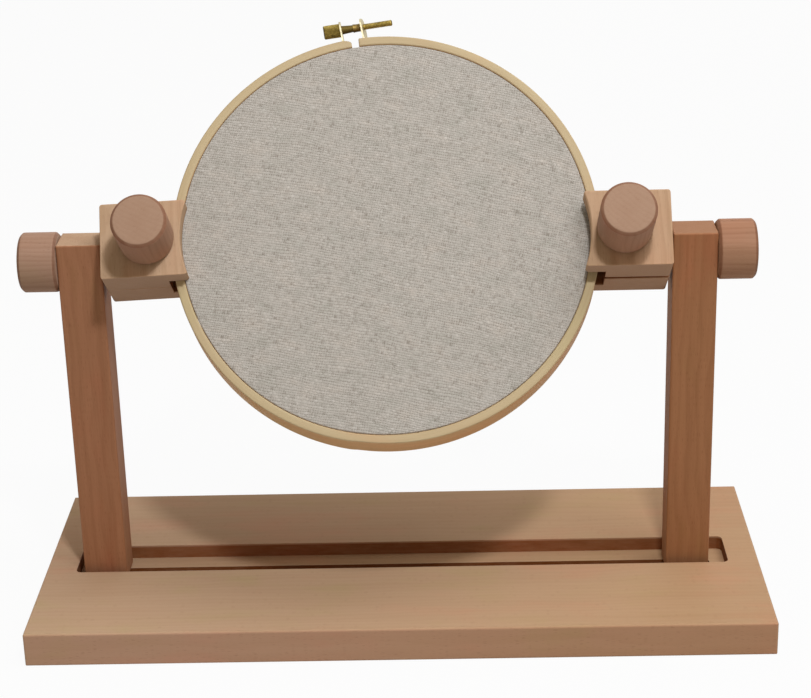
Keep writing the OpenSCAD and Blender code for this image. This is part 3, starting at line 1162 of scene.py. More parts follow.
# A darker copy of the left post's wood, its end grain darker too: painted shade that stands in for the
# clamp's shade on the right post.
RIGHT_POST = replace(LEFT_POST.toned("right_post_beech", (0.89, 0.87, 0.75), 6.0),
                     end=(0.370, 0.192, 0.104))
JAWS = Beech("jaw_beech", (0.515, 0.336, 0.203), (0.390, 0.233, 0.126), (0.300, 0.164, 0.084),
             ring_gap=2.6, heart=(18.0, -40.0), ring_depth=0.20, streak=0.6, cloud=0.8, seed=3.0)
LEFT_JAWS = JAWS.toned("left_jaw_beech", (1.04, 1.08, 1.12), 3.4)
KNOBS = Beech("knob_beech", (0.420, 0.240, 0.152), (0.285, 0.144, 0.080), (0.200, 0.096, 0.052),
              end=(0.396, 0.253, 0.168), ring_gap=2.6, fleck_size=(2.4, 0.40, 3.2), streak=0.28,
              seed=4.0)
LEFT_TILT_KNOB = KNOBS.toned("left_tilt_knob_beech", (1.04, 1.14, 1.24), 7.0)
# A darker copy of the knob wood: the darker tone is painted shade on its front and underside, and the
# stronger streak and cloud are grain.
RIGHT_TILT_KNOB = replace(KNOBS.toned("right_tilt_knob_beech", (0.95, 0.90, 0.83), 8.0),
                          streak=0.50, cloud=0.95)
# The rings' flank tone lightens their inner and outer faces: painted light.
RINGS = Beech("ring_beech", (0.560, 0.450, 0.262), (0.450, 0.328, 0.178), (0.330, 0.215, 0.110),
              flank=(1.30, 1.04, 0.90), rose=(1.08, 0.90, 0.84), straw=(0.96, 1.02, 0.92),
              ring_gap=5.0, ring_depth=0.10, fleck_size=(2.4, 0.45, 3.0), fleck_share=0.35,
              streak=0.5, rough=0.52, seed=5.0)
BRASS = Metal("turned_brass", (0.430, 0.315, 0.080), (0.070, 0.046, 0.012), 0.38, 0.75)
OLD_BRASS = Metal("old_brass", (0.230, 0.155, 0.045), (0.070, 0.042, 0.014), 0.44, 0.8)
PLATE = Metal("brass_plate", (0.560, 0.490, 0.310), (0.360, 0.300, 0.190), 0.45)
ZINC = Metal("zinc_plate", (0.660, 0.660, 0.640), (0.420, 0.420, 0.410), 0.34)


@dataclass
class Hoop:
    """The two rings and the linen that they hold, in the hoop's frame.

    The frame's X is the stand's X, its Y runs up the hoop's face and its Z out of the
    front. An angle on the hoop is measured from the top towards the left.
    """

    stand: Stand
    columns: int = 384
    end_rows: int = 7
    face_rows: int = 90
    corner_rows: int = 8
    wall_rows: int = 16
    end_ease: float = 0.7 * MM
    ring_ease: float = 0.8 * MM
    split_angle: float = math.radians(8)
    split_width: float = 3.8 * MM
    taper_length: float = 4.5 * MM
    taper: float = 0.34
    step_angle: float = math.radians(171)
    step_fade: float = math.radians(16)
    step_depth: float = 0.35 * MM
    step_width: float = 0.5 * MM
    inner_step_angle: float = math.radians(200)
    inner_step_fade: float = math.radians(14)
    inner_step_share: float = 0.05
    inner_step_width: float = 0.4 * MM
    linen_thick: float = 0.45 * MM
    linen_corner: float = 0.75 * MM
    hem: float = 0.1 * MM
    ripple: float = 0.10 * MM
    ripple_fade: float = 4.0 * MM
    puckers: int = 46
    axes: Axes = field(init=False)

    def __post_init__(self) -> None:
        """Finds the hoop's frame from the joint that it turns on."""
        centre, normal = self.stand.pivot("hoop_turn")
        self.axes = Axes.along(centre, normal, (1, 0, 0))

    def build(self) -> None:
        """Makes and dresses the rings and the cloth."""
        wood = RINGS.dress_bent(self.axes)
        low, high = self.stand.extent("hoop_outer_ring", self.axes)
        inner_low, inner_high = self.stand.extent("hoop_inner_ring", self.axes)
        _, cloth_high = self.stand.extent("linen", self.axes)
        outer = (high[0] - low[0]) / 2
        wall = self._wall("hoop_outer_ring")
        inner_wall = self._wall("hoop_inner_ring")
        inner = (inner_high[0] - inner_low[0]) / 2
        Piece("outer_ring", (self._split_ring(outer, wall, low[2], high[2]),), "hoop",
              ("hoop_outer_ring",), "ring_wood").make(wood)
        ring = Piece("inner_ring", (self._whole_ring(inner, inner_wall, inner_low[2], inner_high[2]),),
                     "hoop", ("hoop_inner_ring",), "ring_wood").make(wood)
        edge_radius = cloth_high[0] - 0.02 * MM
        cloth = Piece("linen_cloth", (self._cloth(edge_radius, low[2], cloth_high[2]),), "hoop",
                      ("linen", "linen_edge"), "linen", crease=70.0).make(Linen().dress())
        flat = edge_radius + (cloth_high[2] - low[2])
        2 * flat
        2 * flat
        math.pi * flat ** 2

    def _wall(self, node: str) -> float:
        """Thickness of a ring's wall, from how near to its middle its points come.

        Args:
            node: The ring's CAD node.

        Returns:
            The thickness.
        """
        local = self.axes.local(self.stand.points(node))
        radius = np.hypot(local[:, 0], local[:, 1])
        return radius.max() - radius.min()

    def _ring_patch(self, radius: float, wall: float, low: float, high: float, angle: np.ndarray,
                    inset: np.ndarray, shrink: np.ndarray) -> Patch:
        """A ring's surface as a rounded section carried round the hoop.

        With the section's point (p, q) about its middle, the point at angle a lies
        radius - wall / 2 + p' from the middle, at (-sin a, cos a) times that, and at
        height (low + high) / 2 + q'. p' and q' are p and q drawn in by inset, and p'
        is also drawn towards the inner face by shrink.

        Args:
            radius: Outside radius of the ring.
            wall: Thickness of its wall.
            low: Height of its back.
            high: Height of its front.
            angle: Angle of each row.
            inset: How far the section is drawn in at each row.
            shrink: Share by which the wall is thinner at each row, and any step in it.

        Returns:
            The surface.
        """
        section = rounded_loop(wall, high - low, self.ring_ease)
        p = section[:, 0] * np.clip(1 - 2 * inset / wall, 0, 1)[:, None]
        q = section[:, 1] * np.clip(1 - 2 * inset / (high - low), 0, 1)[:, None]
        p = (p + wall / 2) * (1 - shrink)[:, None] - wall / 2
        reach = radius - wall / 2 + p
        local = np.stack([-np.sin(angle)[:, None] * reach, np.cos(angle)[:, None] * reach,
                          (low + high) / 2 + q], -1)
        along = np.broadcast_to((angle * radius)[:, None], reach.shape)
        across = np.broadcast_to(lengths(section), reach.shape)
        return Patch(self.axes.place(local), np.stack([along, across], -1))

    def _split_ring(self, radius: float, wall: float, low: float, high: float) -> Patch:
        """The outer ring, open at its split, with eased ends and a thinned left end.

        Near an end, with t from 0 to a quarter turn, the section is drawn in by
        ease (1 - sin t) at ease (1 - cos t) from the end; the very end is drawn to a
        point. The left end thins over the taper's length, and one end of the bent strip
        lies under the other below, where the wall steps in and grows back.

        Args:
            radius: Outside radius of the ring.
            wall: Thickness of its wall.
            low: Height of its back.
            high: Height of its front.

        Returns:
            The ring's surface.
        """
        half = math.asin(self.split_width / 2 / radius)
        turn = np.linspace(0, math.pi / 2, self.end_rows)
        reach = self.end_ease * (1 - np.cos(turn)) / radius
        inset = self.end_ease * (1 - np.sin(turn))
        first, last = self.split_angle + half, self.split_angle + 2 * math.pi - half
        middle = np.linspace(first + reach[-1], last - reach[-1], self.columns)[1:-1]
        angle = np.concatenate([[first], first + reach, middle, (last - reach)[::-1], [last]])
        drawn = np.concatenate([[wall * 9], inset, np.zeros(len(middle)), inset[::-1], [wall * 9]])
        from_end = (angle - first) * radius
        thin = self.taper * np.clip(1 - from_end / self.taper_length, 0, 1) ** 2
        lip = self._step((angle - self.step_angle) * radius, self.step_fade * radius,
                         self.step_width)
        thin = thin + self.step_depth / wall * lip
        return self._ring_patch(radius, wall, low, high, angle, np.minimum(drawn, high - low), thin)

    def _step(self, past: np.ndarray, fade: float, width: float) -> np.ndarray:
        """A step that rises from 0 to 1 over a width and then dies away slowly.

        Its height is exp(-past / fade) / (1 + exp(-past / width)), without the first
        exponential ahead of the step.

        Args:
            past: Distance past the step along the strip.
            fade: Distance over which it dies away.
            width: Distance over which it rises.

        Returns:
            The height at each distance.
        """
        return np.exp(-np.clip(past, 0, None) / fade) / (1 + np.exp(-past / width))

    def _whole_ring(self, radius: float, wall: float, low: float, high: float) -> Patch:
        """The inner ring, closed, with the fine step where its strip's ends overlap.

        Args:
            radius: Outside radius of the ring.
            wall: Thickness of its wall.
            low: Height of its back.
            high: Height of its front.

        Returns:
            The ring's surface.
        """
        angle = np.linspace(0, 2 * math.pi, self.columns + 1)
        lip = self._step((angle - self.inner_step_angle) * radius, self.inner_step_fade * radius,
                         self.inner_step_width)
        return self._ring_patch(radius, wall, low, high, angle, np.zeros_like(angle),
                                self.inner_step_share * lip)

    def _cloth(self, radius: float, low: float, high: float) -> Patch:
        """The linen, drawn over the inner ring and down between the rings.

        The outer skin runs from the middle out to radius less the corner, round a
        quarter circle, and down to the back; the inner skin lies one thickness inside
        it, and the hem joins them. The face sinks and rises by the ripple times
        sin(2 a + 5 s) sin(3 s) less puckers s^8 (1 + sin n a) / 2 at the rim, where s is
        the share of the radius, and both fade out at the corner.

        Args:
            radius: Radius of the cloth where it runs down between the rings.
            low: Height of the hoop's back.
            high: Height of the cloth's face.

        Returns:
            The closed surface of the cloth.
        """
        corner = self.linen_corner
        flat = np.linspace(0, radius - corner, self.face_rows)
        turn = np.linspace(0, math.pi / 2, self.corner_rows)[1:]
        down = np.linspace(high - corner, low + self.hem, self.wall_rows)[1:]
        outer = np.concatenate([
            np.stack([flat, np.full_like(flat, high)], -1),
            np.stack([radius - corner + corner * np.sin(turn),
                      high - corner + corner * np.cos(turn)], -1),
            np.stack([np.full_like(down, radius), down], -1)])
        inner = np.stack([np.minimum(outer[:, 0], radius - self.linen_thick),
                          np.minimum(outer[:, 1], high - self.linen_thick)], -1)[::-1]
        line = np.concatenate([outer, inner])
        angle = np.linspace(0, 2 * math.pi, self.columns + 1)
        share = line[:, 0][:, None] / radius
        fade = np.clip((radius - corner - line[:, 0]) / self.ripple_fade, 0, 1)[:, None]
        pucker = share ** 8 * 0.5 * (1 + np.sin(self.puckers * angle))
        wave = np.sin(2 * angle + 5 * share) * np.sin(3 * share) - pucker
        height = line[:, 1][:, None] + self.ripple * fade * wave * (share > 0)
        reach = np.broadcast_to(line[:, 0][:, None], height.shape)
        local = np.stack([-np.sin(angle) * reach, np.cos(angle) * reach, height], -1)
        out = np.concatenate([lengths(outer), lengths(outer)[::-1]])[:, None]
        uv = np.stack([-np.sin(angle) * out, np.cos(angle) * out], -1)
        return Patch(self.axes.place(local), uv)


@dataclass
class HoopScrew:
    """The brass screw that draws the outer ring together, with its lugs and sleeve."""

    stand: Stand
    hoop: Hoop
    barrel_rows: int = 74
    rod_rows: int = 330
    rod_columns: int = 32
    sleeve_rows: int = 24
    sleeve_columns: int = 48
    foot_rows: int = 16
    ear_rows: int = 26
    rivet_rows: int = 9
    rivet_columns: int = 32
    knurls: int = 26
    knurl_columns: int = 8
    knurl_depth: float = 0.32 * MM
    dish: float = 0.45 * MM
    chamfer: float = 0.5 * MM
    pitch: float = 0.7 * MM
    thread_depth: float = 0.22 * MM
    lug_thick: float = 1.0 * MM
    lug_foot: float = 9.0 * MM
    lug_half: float = 4.0 * MM
    bend: float = 1.3 * MM
    lean: float = 0.5 * MM
    twist: float = 0.27
    rivet: float = 1.1 * MM
    rivet_out: float = 1.0 * MM
    sunk: float = 0.2 * MM
    shoulder: float = 0.7 * MM
    shoulder_length: float = 9.0 * MM
    sleeve_waist: float = 0.2 * MM
    axes: Axes = field(init=False)

    def __post_init__(self) -> None:
        """Finds the screw's frame: Z along the rod to the right, X out from the hoop."""
        place, along = self.stand.pivot("hoop_screw_turn")
        out = place - self.hoop.axes.origin
        self.axes = Axes.along(place, along, out - np.dot(out, self.hoop.axes.z) * self.hoop.axes.z)

    def build(self) -> None:
        """Makes and dresses the screw, the sleeve and both lugs."""
        low, high = self.stand.extent("hoop_screw", self.axes)
        end = low[2] + self._head_length()
        grooves = Grooves(self.axes, high[0] / MM, end / MM, self._rod_radius() / MM,
                          (end + self.shoulder_length) / MM)
        plate = PLATE.dress()
        Piece("brass_screw", (self._head(), self._rod()), "hoop_screw", ("hoop_screw",),
              "brass").make(BRASS.dress(grooves))
        Piece("brass_sleeve", (self._sleeve(),), "hoop", ("hoop_screw_sleeve",),
              "brass").make(OLD_BRASS.dress())
        for side in Side:
            node = f"hoop_{side.word}_lug"
            Piece(f"{side.word}_lug", (self._lug(side, node), self._rivet(side, node)), "hoop",
                  (node,), "brass").make(plate)

    def _head(self) -> Patch:
        """The knurled head: two sets of crossed grooves on a chamfered barrel.

        The relief is minus the depth times the larger of two triangle waves of
        n a / 2 pi + z / p and n a / 2 pi - z / p, faded out on the chamfers.

        Returns:
            The head's surface.
        """
        low, high = self.stand.extent("hoop_screw", self.axes)
        radius = high[0]
        rod = self._rod_radius()
        start = low[2]
        end = start + self._head_length()
        barrel = np.linspace(start + self.chamfer, end - self.chamfer, self.barrel_rows)
        outline = np.concatenate([
            [[0, start + self.dish], [radius * 0.45, start + self.dish], [radius * 0.62, start]],
            [[radius - self.chamfer, start]],
            np.stack([np.full_like(barrel, radius), barrel], -1),
            [[radius - self.chamfer, end], [rod * 0.9, end], [0, end]]])
        columns = self.knurls * self.knurl_columns
        angle = np.linspace(0, 2 * math.pi, columns + 1)
        lead = self.knurls * angle / (2 * math.pi)
        rise = (outline[:, 1][:, None] - start) / (2 * math.pi * radius / self.knurls)
        waves = [2 * np.abs(lead + s * rise - np.round(lead + s * rise)) for s in (-1, 1)]
        on_barrel = (outline[:, 0] > radius - ON_SIDE)[:, None]
        relief = -self.knurl_depth * (1 - np.minimum(*waves)) ** 3 * on_barrel
        return turned(self.axes, outline, columns, relief)

    def _rod_radius(self) -> float:
        """Radius of the rod, from the points past the right lug.

        Returns:
            The radius.
        """
        local = self.axes.local(self.stand.points("hoop_screw"))
        far = local[local[:, 2] > local[:, 2].max() - 0.1 * MM]
        return np.hypot(far[:, 0], far[:, 1]).max()

    def _head_length(self) -> float:
        """Length of the head, from the last point that is wider than the rod.

        Returns:
            The length.
        """
        local = self.axes.local(self.stand.points("hoop_screw"))
        wide = np.hypot(local[:, 0], local[:, 1]) > 1.5 * self._rod_radius()
        return local[wide, 2].max() - local[:, 2].min()

    def _rod(self) -> Patch:
        """The threaded rod, with a shoulder that tapers from the head and a chamfered tip.

        Returns:
            The rod's surface.
        """
        low, high = self.stand.extent("hoop_screw", self.axes)
        radius = self._rod_radius()
        start = low[2] + self._head_length() - self.chamfer
        z = np.linspace(start, high[2] - self.chamfer, self.rod_rows)
        shoulder = self.shoulder * np.clip(1 - (z - start) / self.shoulder_length, 0, 1)
        outline = np.concatenate([
            [[0, start]], np.stack([radius + shoulder, z], -1),
            [[radius - self.chamfer, high[2]], [0, high[2]]]])
        cut = thread(outline, self.pitch, self.thread_depth, start + self.shoulder_length,
                     high[2] - self.chamfer, self.rod_columns)
        return turned(self.axes, outline, self.rod_columns, cut * (outline[:, 0] > 0)[:, None])

    def _sleeve(self) -> Patch:
        """The sleeve between the lugs, a short tube that is drawn in along its middle.

        Returns:
            The sleeve's surface.
        """
        low, high = self.stand.extent("hoop_screw_sleeve", self.axes)
        radius, bore = high[0], self._rod_radius() + 0.05 * MM
        z = np.linspace(low[2], high[2], self.sleeve_rows)
        share = np.abs(2 * (z - low[2]) / (high[2] - low[2]) - 1)
        skin = np.stack([radius - self.sleeve_waist * (1 - share ** 2), z], -1)
        outline = np.concatenate([[[bore, low[2]]], skin, [[bore, high[2]], [bore, low[2]]]])
        return turned(self.axes, outline, self.sleeve_columns)

    def _lug(self, side: Side, node: str) -> Patch:
        """A strip of sheet brass bent from a foot on the ring to an ear for the rod.

        The strip's middle line runs along the ring at half its thickness above it, round
        a bend and out along the ear. A section of half width w and half thickness h is
        carried along it square to the line; w is sqrt(w0^2 - d^2) within w0 of the ear's
        end, where d is how far past that the point lies.

        Args:
            side: The lug's side.
            node: The lug's CAD node.

        Returns:
            The lug's surface.
        """
        low, high = self.stand.extent(node, self.axes)
        ring = self.axes.local(self.hoop.axes.place(np.zeros(3)))[0]
        outer = self._ring_radius()
        near = low[2] if side is Side.RIGHT else high[2]
        half = self.lug_thick / 2
        ear = near + side.value * half
        foot = np.linspace(ear + side.value * (self.lug_foot - half), ear + side.value * self.bend,
                           self.foot_rows)
        on_ring = np.stack([ring + np.sqrt((outer + half) ** 2 - foot ** 2), foot], -1)
        base = ring + math.sqrt((outer + half) ** 2 - ear ** 2)
        top = high[0]
        bend = eased([on_ring[-1], (base, ear), (base + self.bend, ear - 0.1 * self.lean)],
                     2 * self.bend, 8)
        rise = np.linspace(base + self.bend, top, self.ear_rows)[1:]
        share = (rise - rise[0]) / (top - rise[0])
        upright_part = np.stack([rise, ear - (0.1 + 0.9 * share) * self.lean], -1)
        line = np.concatenate([on_ring, bend[1:], upright_part])
        most = self.twist if side is Side.RIGHT else self.twist / 4
        return self._strip(line, most * np.clip((line[:, 0] - base) / (self.bend * 2), 0, 1))

    def _ring_radius(self) -> float:
        """Outside radius of the outer ring."""
        low, high = self.stand.extent("hoop_outer_ring", self.hoop.axes)
        return (high[0] - low[0]) / 2

    def _strip(self, line: np.ndarray, twist: np.ndarray) -> Patch:
        """Carries the strip's section along its middle line and closes both ends.

        Args:
            line: Points of the middle line, out from the hoop and along the rod, (n, 2).
            twist: How far each point's section is carried along the rod for each unit
                across it.

        Returns:
            The strip's surface.
        """
        along = lengths(line)
        way = np.gradient(line, axis=0)
        way /= np.linalg.norm(way, axis=1)[:, None]
        square = np.stack([-way[:, 1], way[:, 0]], -1)
        past = np.clip(along - (along[-1] - self.lug_half), 0, self.lug_half)
        half = np.sqrt(np.maximum(self.lug_half ** 2 - past ** 2, 0))
        half[-1] = 0
        section = rounded_loop(2.0, 2.0, 0.25, 3)
        thick = np.full(len(line), self.lug_thick / 2)
        rows = np.concatenate([[0], np.arange(len(line))])
        width = np.concatenate([[0], half])
        thick = np.concatenate([[0], thick])
        across = width[:, None] * section[:, 0]
        off = thick[:, None] * section[:, 1]
        flat = line[rows][:, None, :] + off[..., None] * square[rows][:, None, :]
        local = np.stack([flat[..., 0], across, flat[..., 1] - across * twist[rows][:, None]], -1)
        uv = np.stack([np.broadcast_to(along[rows][:, None], across.shape), across], -1)
        return Patch(self.axes.place(local), uv)

    def _rivet(self, side: Side, node: str) -> Patch:
        """The domed head of the rivet that holds a lug's foot.

        Args:
            side: The lug's side.
            node: The lug's CAD node.

        Returns:
            The rivet's surface.
        """
        low, high = self.stand.extent(node, self.axes)
        middle = (low[2] + high[2]) / 2 + side.value * self.rivet_out
        ring = self.axes.local(self.hoop.axes.place(np.zeros(3)))[0]
        outer = self._ring_radius() + self.lug_thick
        t = np.linspace(0, math.pi / 2, self.rivet_rows)
        dome = np.stack([self.rivet * np.sin(t), 0.45 * self.rivet * np.cos(t)], -1)
        outline = np.concatenate([dome, [[self.rivet, -self.sunk], [0, -self.sunk]]])
        out = math.asin(middle / outer)
        foot = self.axes.moved(x=ring + outer * math.cos(out), z=middle)
        normal = math.cos(out) * self.axes.x + math.sin(out) * self.axes.z
        return turned(Axes.along(foot.origin, normal, self.axes.y), outline, self.rivet_columns)


@dataclass
class Knob:
    """A turned beech knob on its stud, clamp or tilt, with the grain along its axis."""

    stand: Stand
    name: str
    joint: str
    body: str
    wood: Beech
    fleck_turn: float
    chamfer: float = 1.5 * MM
    ease: float = 0.55 * MM
    pitch: float = 1.0 * MM
    thread_depth: float = 0.35 * MM
    stud_chamfer: float = 0.6 * MM
    stud_rows_per_turn: int = 12
    stud_columns: int = 28
    columns: int = 128

    def build(self) -> None:
        """Makes and dresses the knob and its stud."""
        place, along = self.stand.pivot(self.joint)
        axes = Axes.along(place, along, (0, 0.3, 1))
        low, high = self.stand.extent(self.name, axes)
        radius = high[0]
        corners = [(0, low[2]), (radius - self.chamfer, low[2]), (radius, low[2] + self.chamfer),
                   (radius, high[2] - self.chamfer), (radius - self.chamfer, high[2]), (0, high[2])]
        outline = eased(corners, self.ease)
        stick = Axes(axes.origin, axes.z, *self._across(axes))
        middle, half = (low[2] + high[2]) / 2, (high[2] - low[2]) / 2
        # A painted shade line on the knob's chamfers.
        rim = DarkRim(axes.moved(z=middle), radius, half, self.chamfer)
        Piece(f"{self.name}_turned", (turned(axes, outline, self.columns),), self.body,
              (self.name,), "knob_wood").make(self.wood.dress(stick, rim))
        stud = self.name.replace("knob", "stud")
        Piece(f"{stud}_threaded", (self._stud(axes, stud),), self.body, (stud,),
              "steel").make(ZINC.dress())

    def _across(self, axes: Axes) -> tuple[np.ndarray, np.ndarray]:
        """The stick's two directions across its grain, turned so that the rays slant."""
        c, s = math.cos(math.radians(self.fleck_turn)), math.sin(math.radians(self.fleck_turn))
        return c * axes.x + s * axes.y, c * axes.y - s * axes.x

    def _stud(self, axes: Axes, node: str) -> Patch:
        """The stud: a threaded rod with chamfered ends.

        Args:
            axes: The knob's frame.
            node: The stud's CAD node.

        Returns:
            The stud's surface.
        """
        low, high = self.stand.extent(node, axes)
        radius, ease = high[0], self.stud_chamfer
        rows = self.stud_rows_per_turn * round((high[2] - low[2]) / self.pitch)
        z = np.linspace(low[2] + ease, high[2] - ease, rows)
        outline = np.concatenate([
            [[0, low[2]], [radius - ease, low[2]]], np.stack([np.full_like(z, radius), z], -1),
            [[radius - ease, high[2]], [0, high[2]]]])
        cut = thread(outline, self.pitch, self.thread_depth, z[0], z[-1], self.stud_columns)
        on_side = (outline[:, 0] > radius - ON_SIDE)[:, None]
        return turned(axes, outline, self.stud_columns, cut * on_side)


@dataclass
class Clamp:
    """One clamp: two beech jaws with brass inserts, and the knob that closes them."""

    stand: Stand
    side: Side
    rebate_wide: float = 10.3 * MM
    rebate_deep: float = 9.5 * MM
    # Browns of the rebate and of the parting face: partly burn, partly painted shade in the rebate and
    # in the slit between the jaws.
    rebate_brown: Rgb = (0.38, 0.20, 0.09)
    parting_brown: Rgb = (0.62, 0.40, 0.28)

    def build(self) -> None:
        """Dresses the jaws and inserts, and makes the knob."""
        word = self.side.word
        place, normal = self.stand.pivot(f"{word}_clamp_knob_turn")
        wood = LEFT_JAWS if self.side is Side.LEFT else JAWS
        for jaw, parting in (("front_jaw", -1), ("back_jaw", 1)):
            node = f"{word}_{jaw}"
            axes = self.stand.squared(node, Axes.along(place, normal, (1, 0, 0)))
            low, high = self.stand.extent(node, axes)
            middle = axes.moved(*(low + high) / 2)
            stick = Axes(middle.origin, middle.y, -middle.x, middle.z)
            half = (high - low) / 2
            # The paler edges are partly wear, partly a painted highlight; the cuts are browned partly as
            # burn, partly as painted shade.
            marks = WornEdges(middle, tuple(half)), *self._cuts(middle, half, parting)
            dress(self.stand.node(node), wood.dress(stick, *marks))
        brass = BRASS.dress()
        for insert in ("clamp_insert", "tilt_insert"):
            dress(self.stand.node(f"{word}_{insert}"), brass)
        slant = 38.0 if self.side is Side.LEFT else 24.0
        knob = f"{word}_clamp_knob"
        Knob(self.stand, knob, f"{knob}_turn", knob, KNOBS, slant).build()

    def _cuts(self, middle: Axes, half: np.ndarray, parting: int) -> tuple[CutterBurn, CutterBurn]:
        """The browned faces of a jaw's rebate for the ring and of its parting face: partly cutter burn,
        partly painted shade of the rebate and of the slit between the jaws.

        Args:
            middle: A frame through the jaw's middle, with Z out of the clamp's front.
            half: Half of the jaw's size.
            parting: The side of the jaw that its parting face is on, along Z.

        Returns:
            Both marks, each with a box that reaches a little past the cut's walls.
        """
        past, clear = 1.2 * MM, 4.0 * MM
        wide, deep = self.rebate_wide + past, self.rebate_deep + past
        rebate = middle.moved(x=self.side.value * ((wide - clear) / 2 - half[0]),
                              z=parting * (half[2] - (deep - clear) / 2))
        face = middle.moved(z=parting * (half[2] - (past - clear) / 2))
        rebate_half = ((wide + clear) / 2, half[1], (deep + clear) / 2)
        face_half = (half[0], half[1], (past + clear) / 2)
        return (CutterBurn(rebate, rebate_half, self.rebate_brown, every_face=True),
                CutterBurn(face, face_half, self.parting_brown, every_face=True))


@dataclass
class Post:
    """One post with its insert, its bolt and washer, and the tilt knob on its side."""

    stand: Stand
    side: Side

    def build(self) -> None:
        """Dresses the post and its fastenings, and makes the tilt knob."""
        word = self.side.word
        low, high = (np.array(corner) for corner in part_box(f"{word}_post"))
        axes = upright((low + high) / 2)
        stick = Axes(axes.origin, axes.z, axes.x, axes.y)
        # The post's paler edges are partly wear, partly a painted highlight.
        edges = WornEdges(axes, tuple((high - low) / 2))
        left = self.side is Side.LEFT
        wood, knob_wood = (LEFT_POST, LEFT_TILT_KNOB) if left else (RIGHT_POST, RIGHT_TILT_KNOB)
        dress(self.stand.node(f"{word}_post"), wood.dress(stick, edges))
        dress(self.stand.node(f"{word}_post_insert"), BRASS.dress())
        zinc = ZINC.dress()
        for part in ("post_bolt", "post_washer"):
            dress(self.stand.node(f"{word}_{part}"), zinc)
        knob, slant = f"{word}_tilt_knob", 65.0
        Knob(self.stand, knob, f"{knob}_turn", knob, knob_wood, slant).build()


@dataclass
class BaseBoard:
    """The slotted base board, a flat-sawn beech plank with the grain along it."""

    stand: Stand
    wall: float = 1.2 * MM
    mouth: float = 0.4 * MM
    end: float = 14.0 * MM
    left_tone: Rgb = (1.07, 1.15, 1.26)
    right_tone: Rgb = (0.96, 0.955, 0.90)

    def build(self) -> None:
        """Dresses the board."""
        low, high = (np.array(corner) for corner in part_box("base_board"))
        board = upright((low + high) / 2)
        stick = Axes(board.origin, board.x, board.z, -board.y)
        low_cut, high_cut = self._channel(low, high)
        channel = upright((low_cut + high_cut) / 2)
        half = tuple((high - low) / 2)
        # The channel's browned walls are partly cutter burn, partly painted shade inside the channel;
        # the paler edges are partly wear, partly a painted highlight.
        marks = (LongDrift(board, half[0], self.left_tone, self.right_tone), WornEdges(board, half),
                 CutterBurn(channel, tuple((high_cut - low_cut) / 2)))
        dress(self.stand.node("base_board"), BOARD.dress(stick, *marks))

    def _channel(self, low: np.ndarray, high: np.ndarray) -> tuple[np.ndarray, np.ndarray]:
        """The box round the channel's walls, from the record's opening for the posts' feet.

        Args:
            low: Lowest corner of the board.
            high: Highest corner of the board.

        Returns:
            The box's lowest and highest corner, a little wider than the channel.
        """
        openings = self.stand.frame["record"]["physics"]["openings"]
        found = next(opening for opening in openings if opening["name"] == "post_channel")
        inner_low, inner_high = (np.array(corner) for corner in found["box_m"])
        mouth = high[2] - self.mouth
        return (np.array([low[0] + self.end, inner_low[1] - self.wall, low[2] - self.wall]),
                np.array([high[0] - self.end, inner_high[1] + self.wall, mouth]))


def upright(origin: np.ndarray) -> Axes:
    """The stand's own directions about another origin."""
    return Axes(origin, np.array([1.0, 0.0, 0.0]), np.array([0.0, 1.0, 0.0]), np.array([0.0, 0.0, 1.0]))


def dress(node: bpy.types.Object, material: bpy.types.Material) -> None:
    """Gives a CAD node one material in place of its own.

    Args:
        node: The node's object.
        material: Its finish.
    """
    node.data.materials.clear()
    node.data.materials.append(material)
    log.info("%s: dressed in %s", node.name, material.name)


@dataclass(frozen=True)
class Lamp:
    """A square lamp that looks at the middle of the stand, in metres and watts."""

    name: str
    place: tuple[float, float, float]
    size: float
    power: float


LAMPS = (Lamp("overhead", (0.68, -0.19, 1.66), 1.0, 13.0),
         Lamp("front", (0.17, -0.68, 1.10), 0.10, 6.4),
         Lamp("back", (0.40, 1.60, 0.75), 1.0, 2.6))


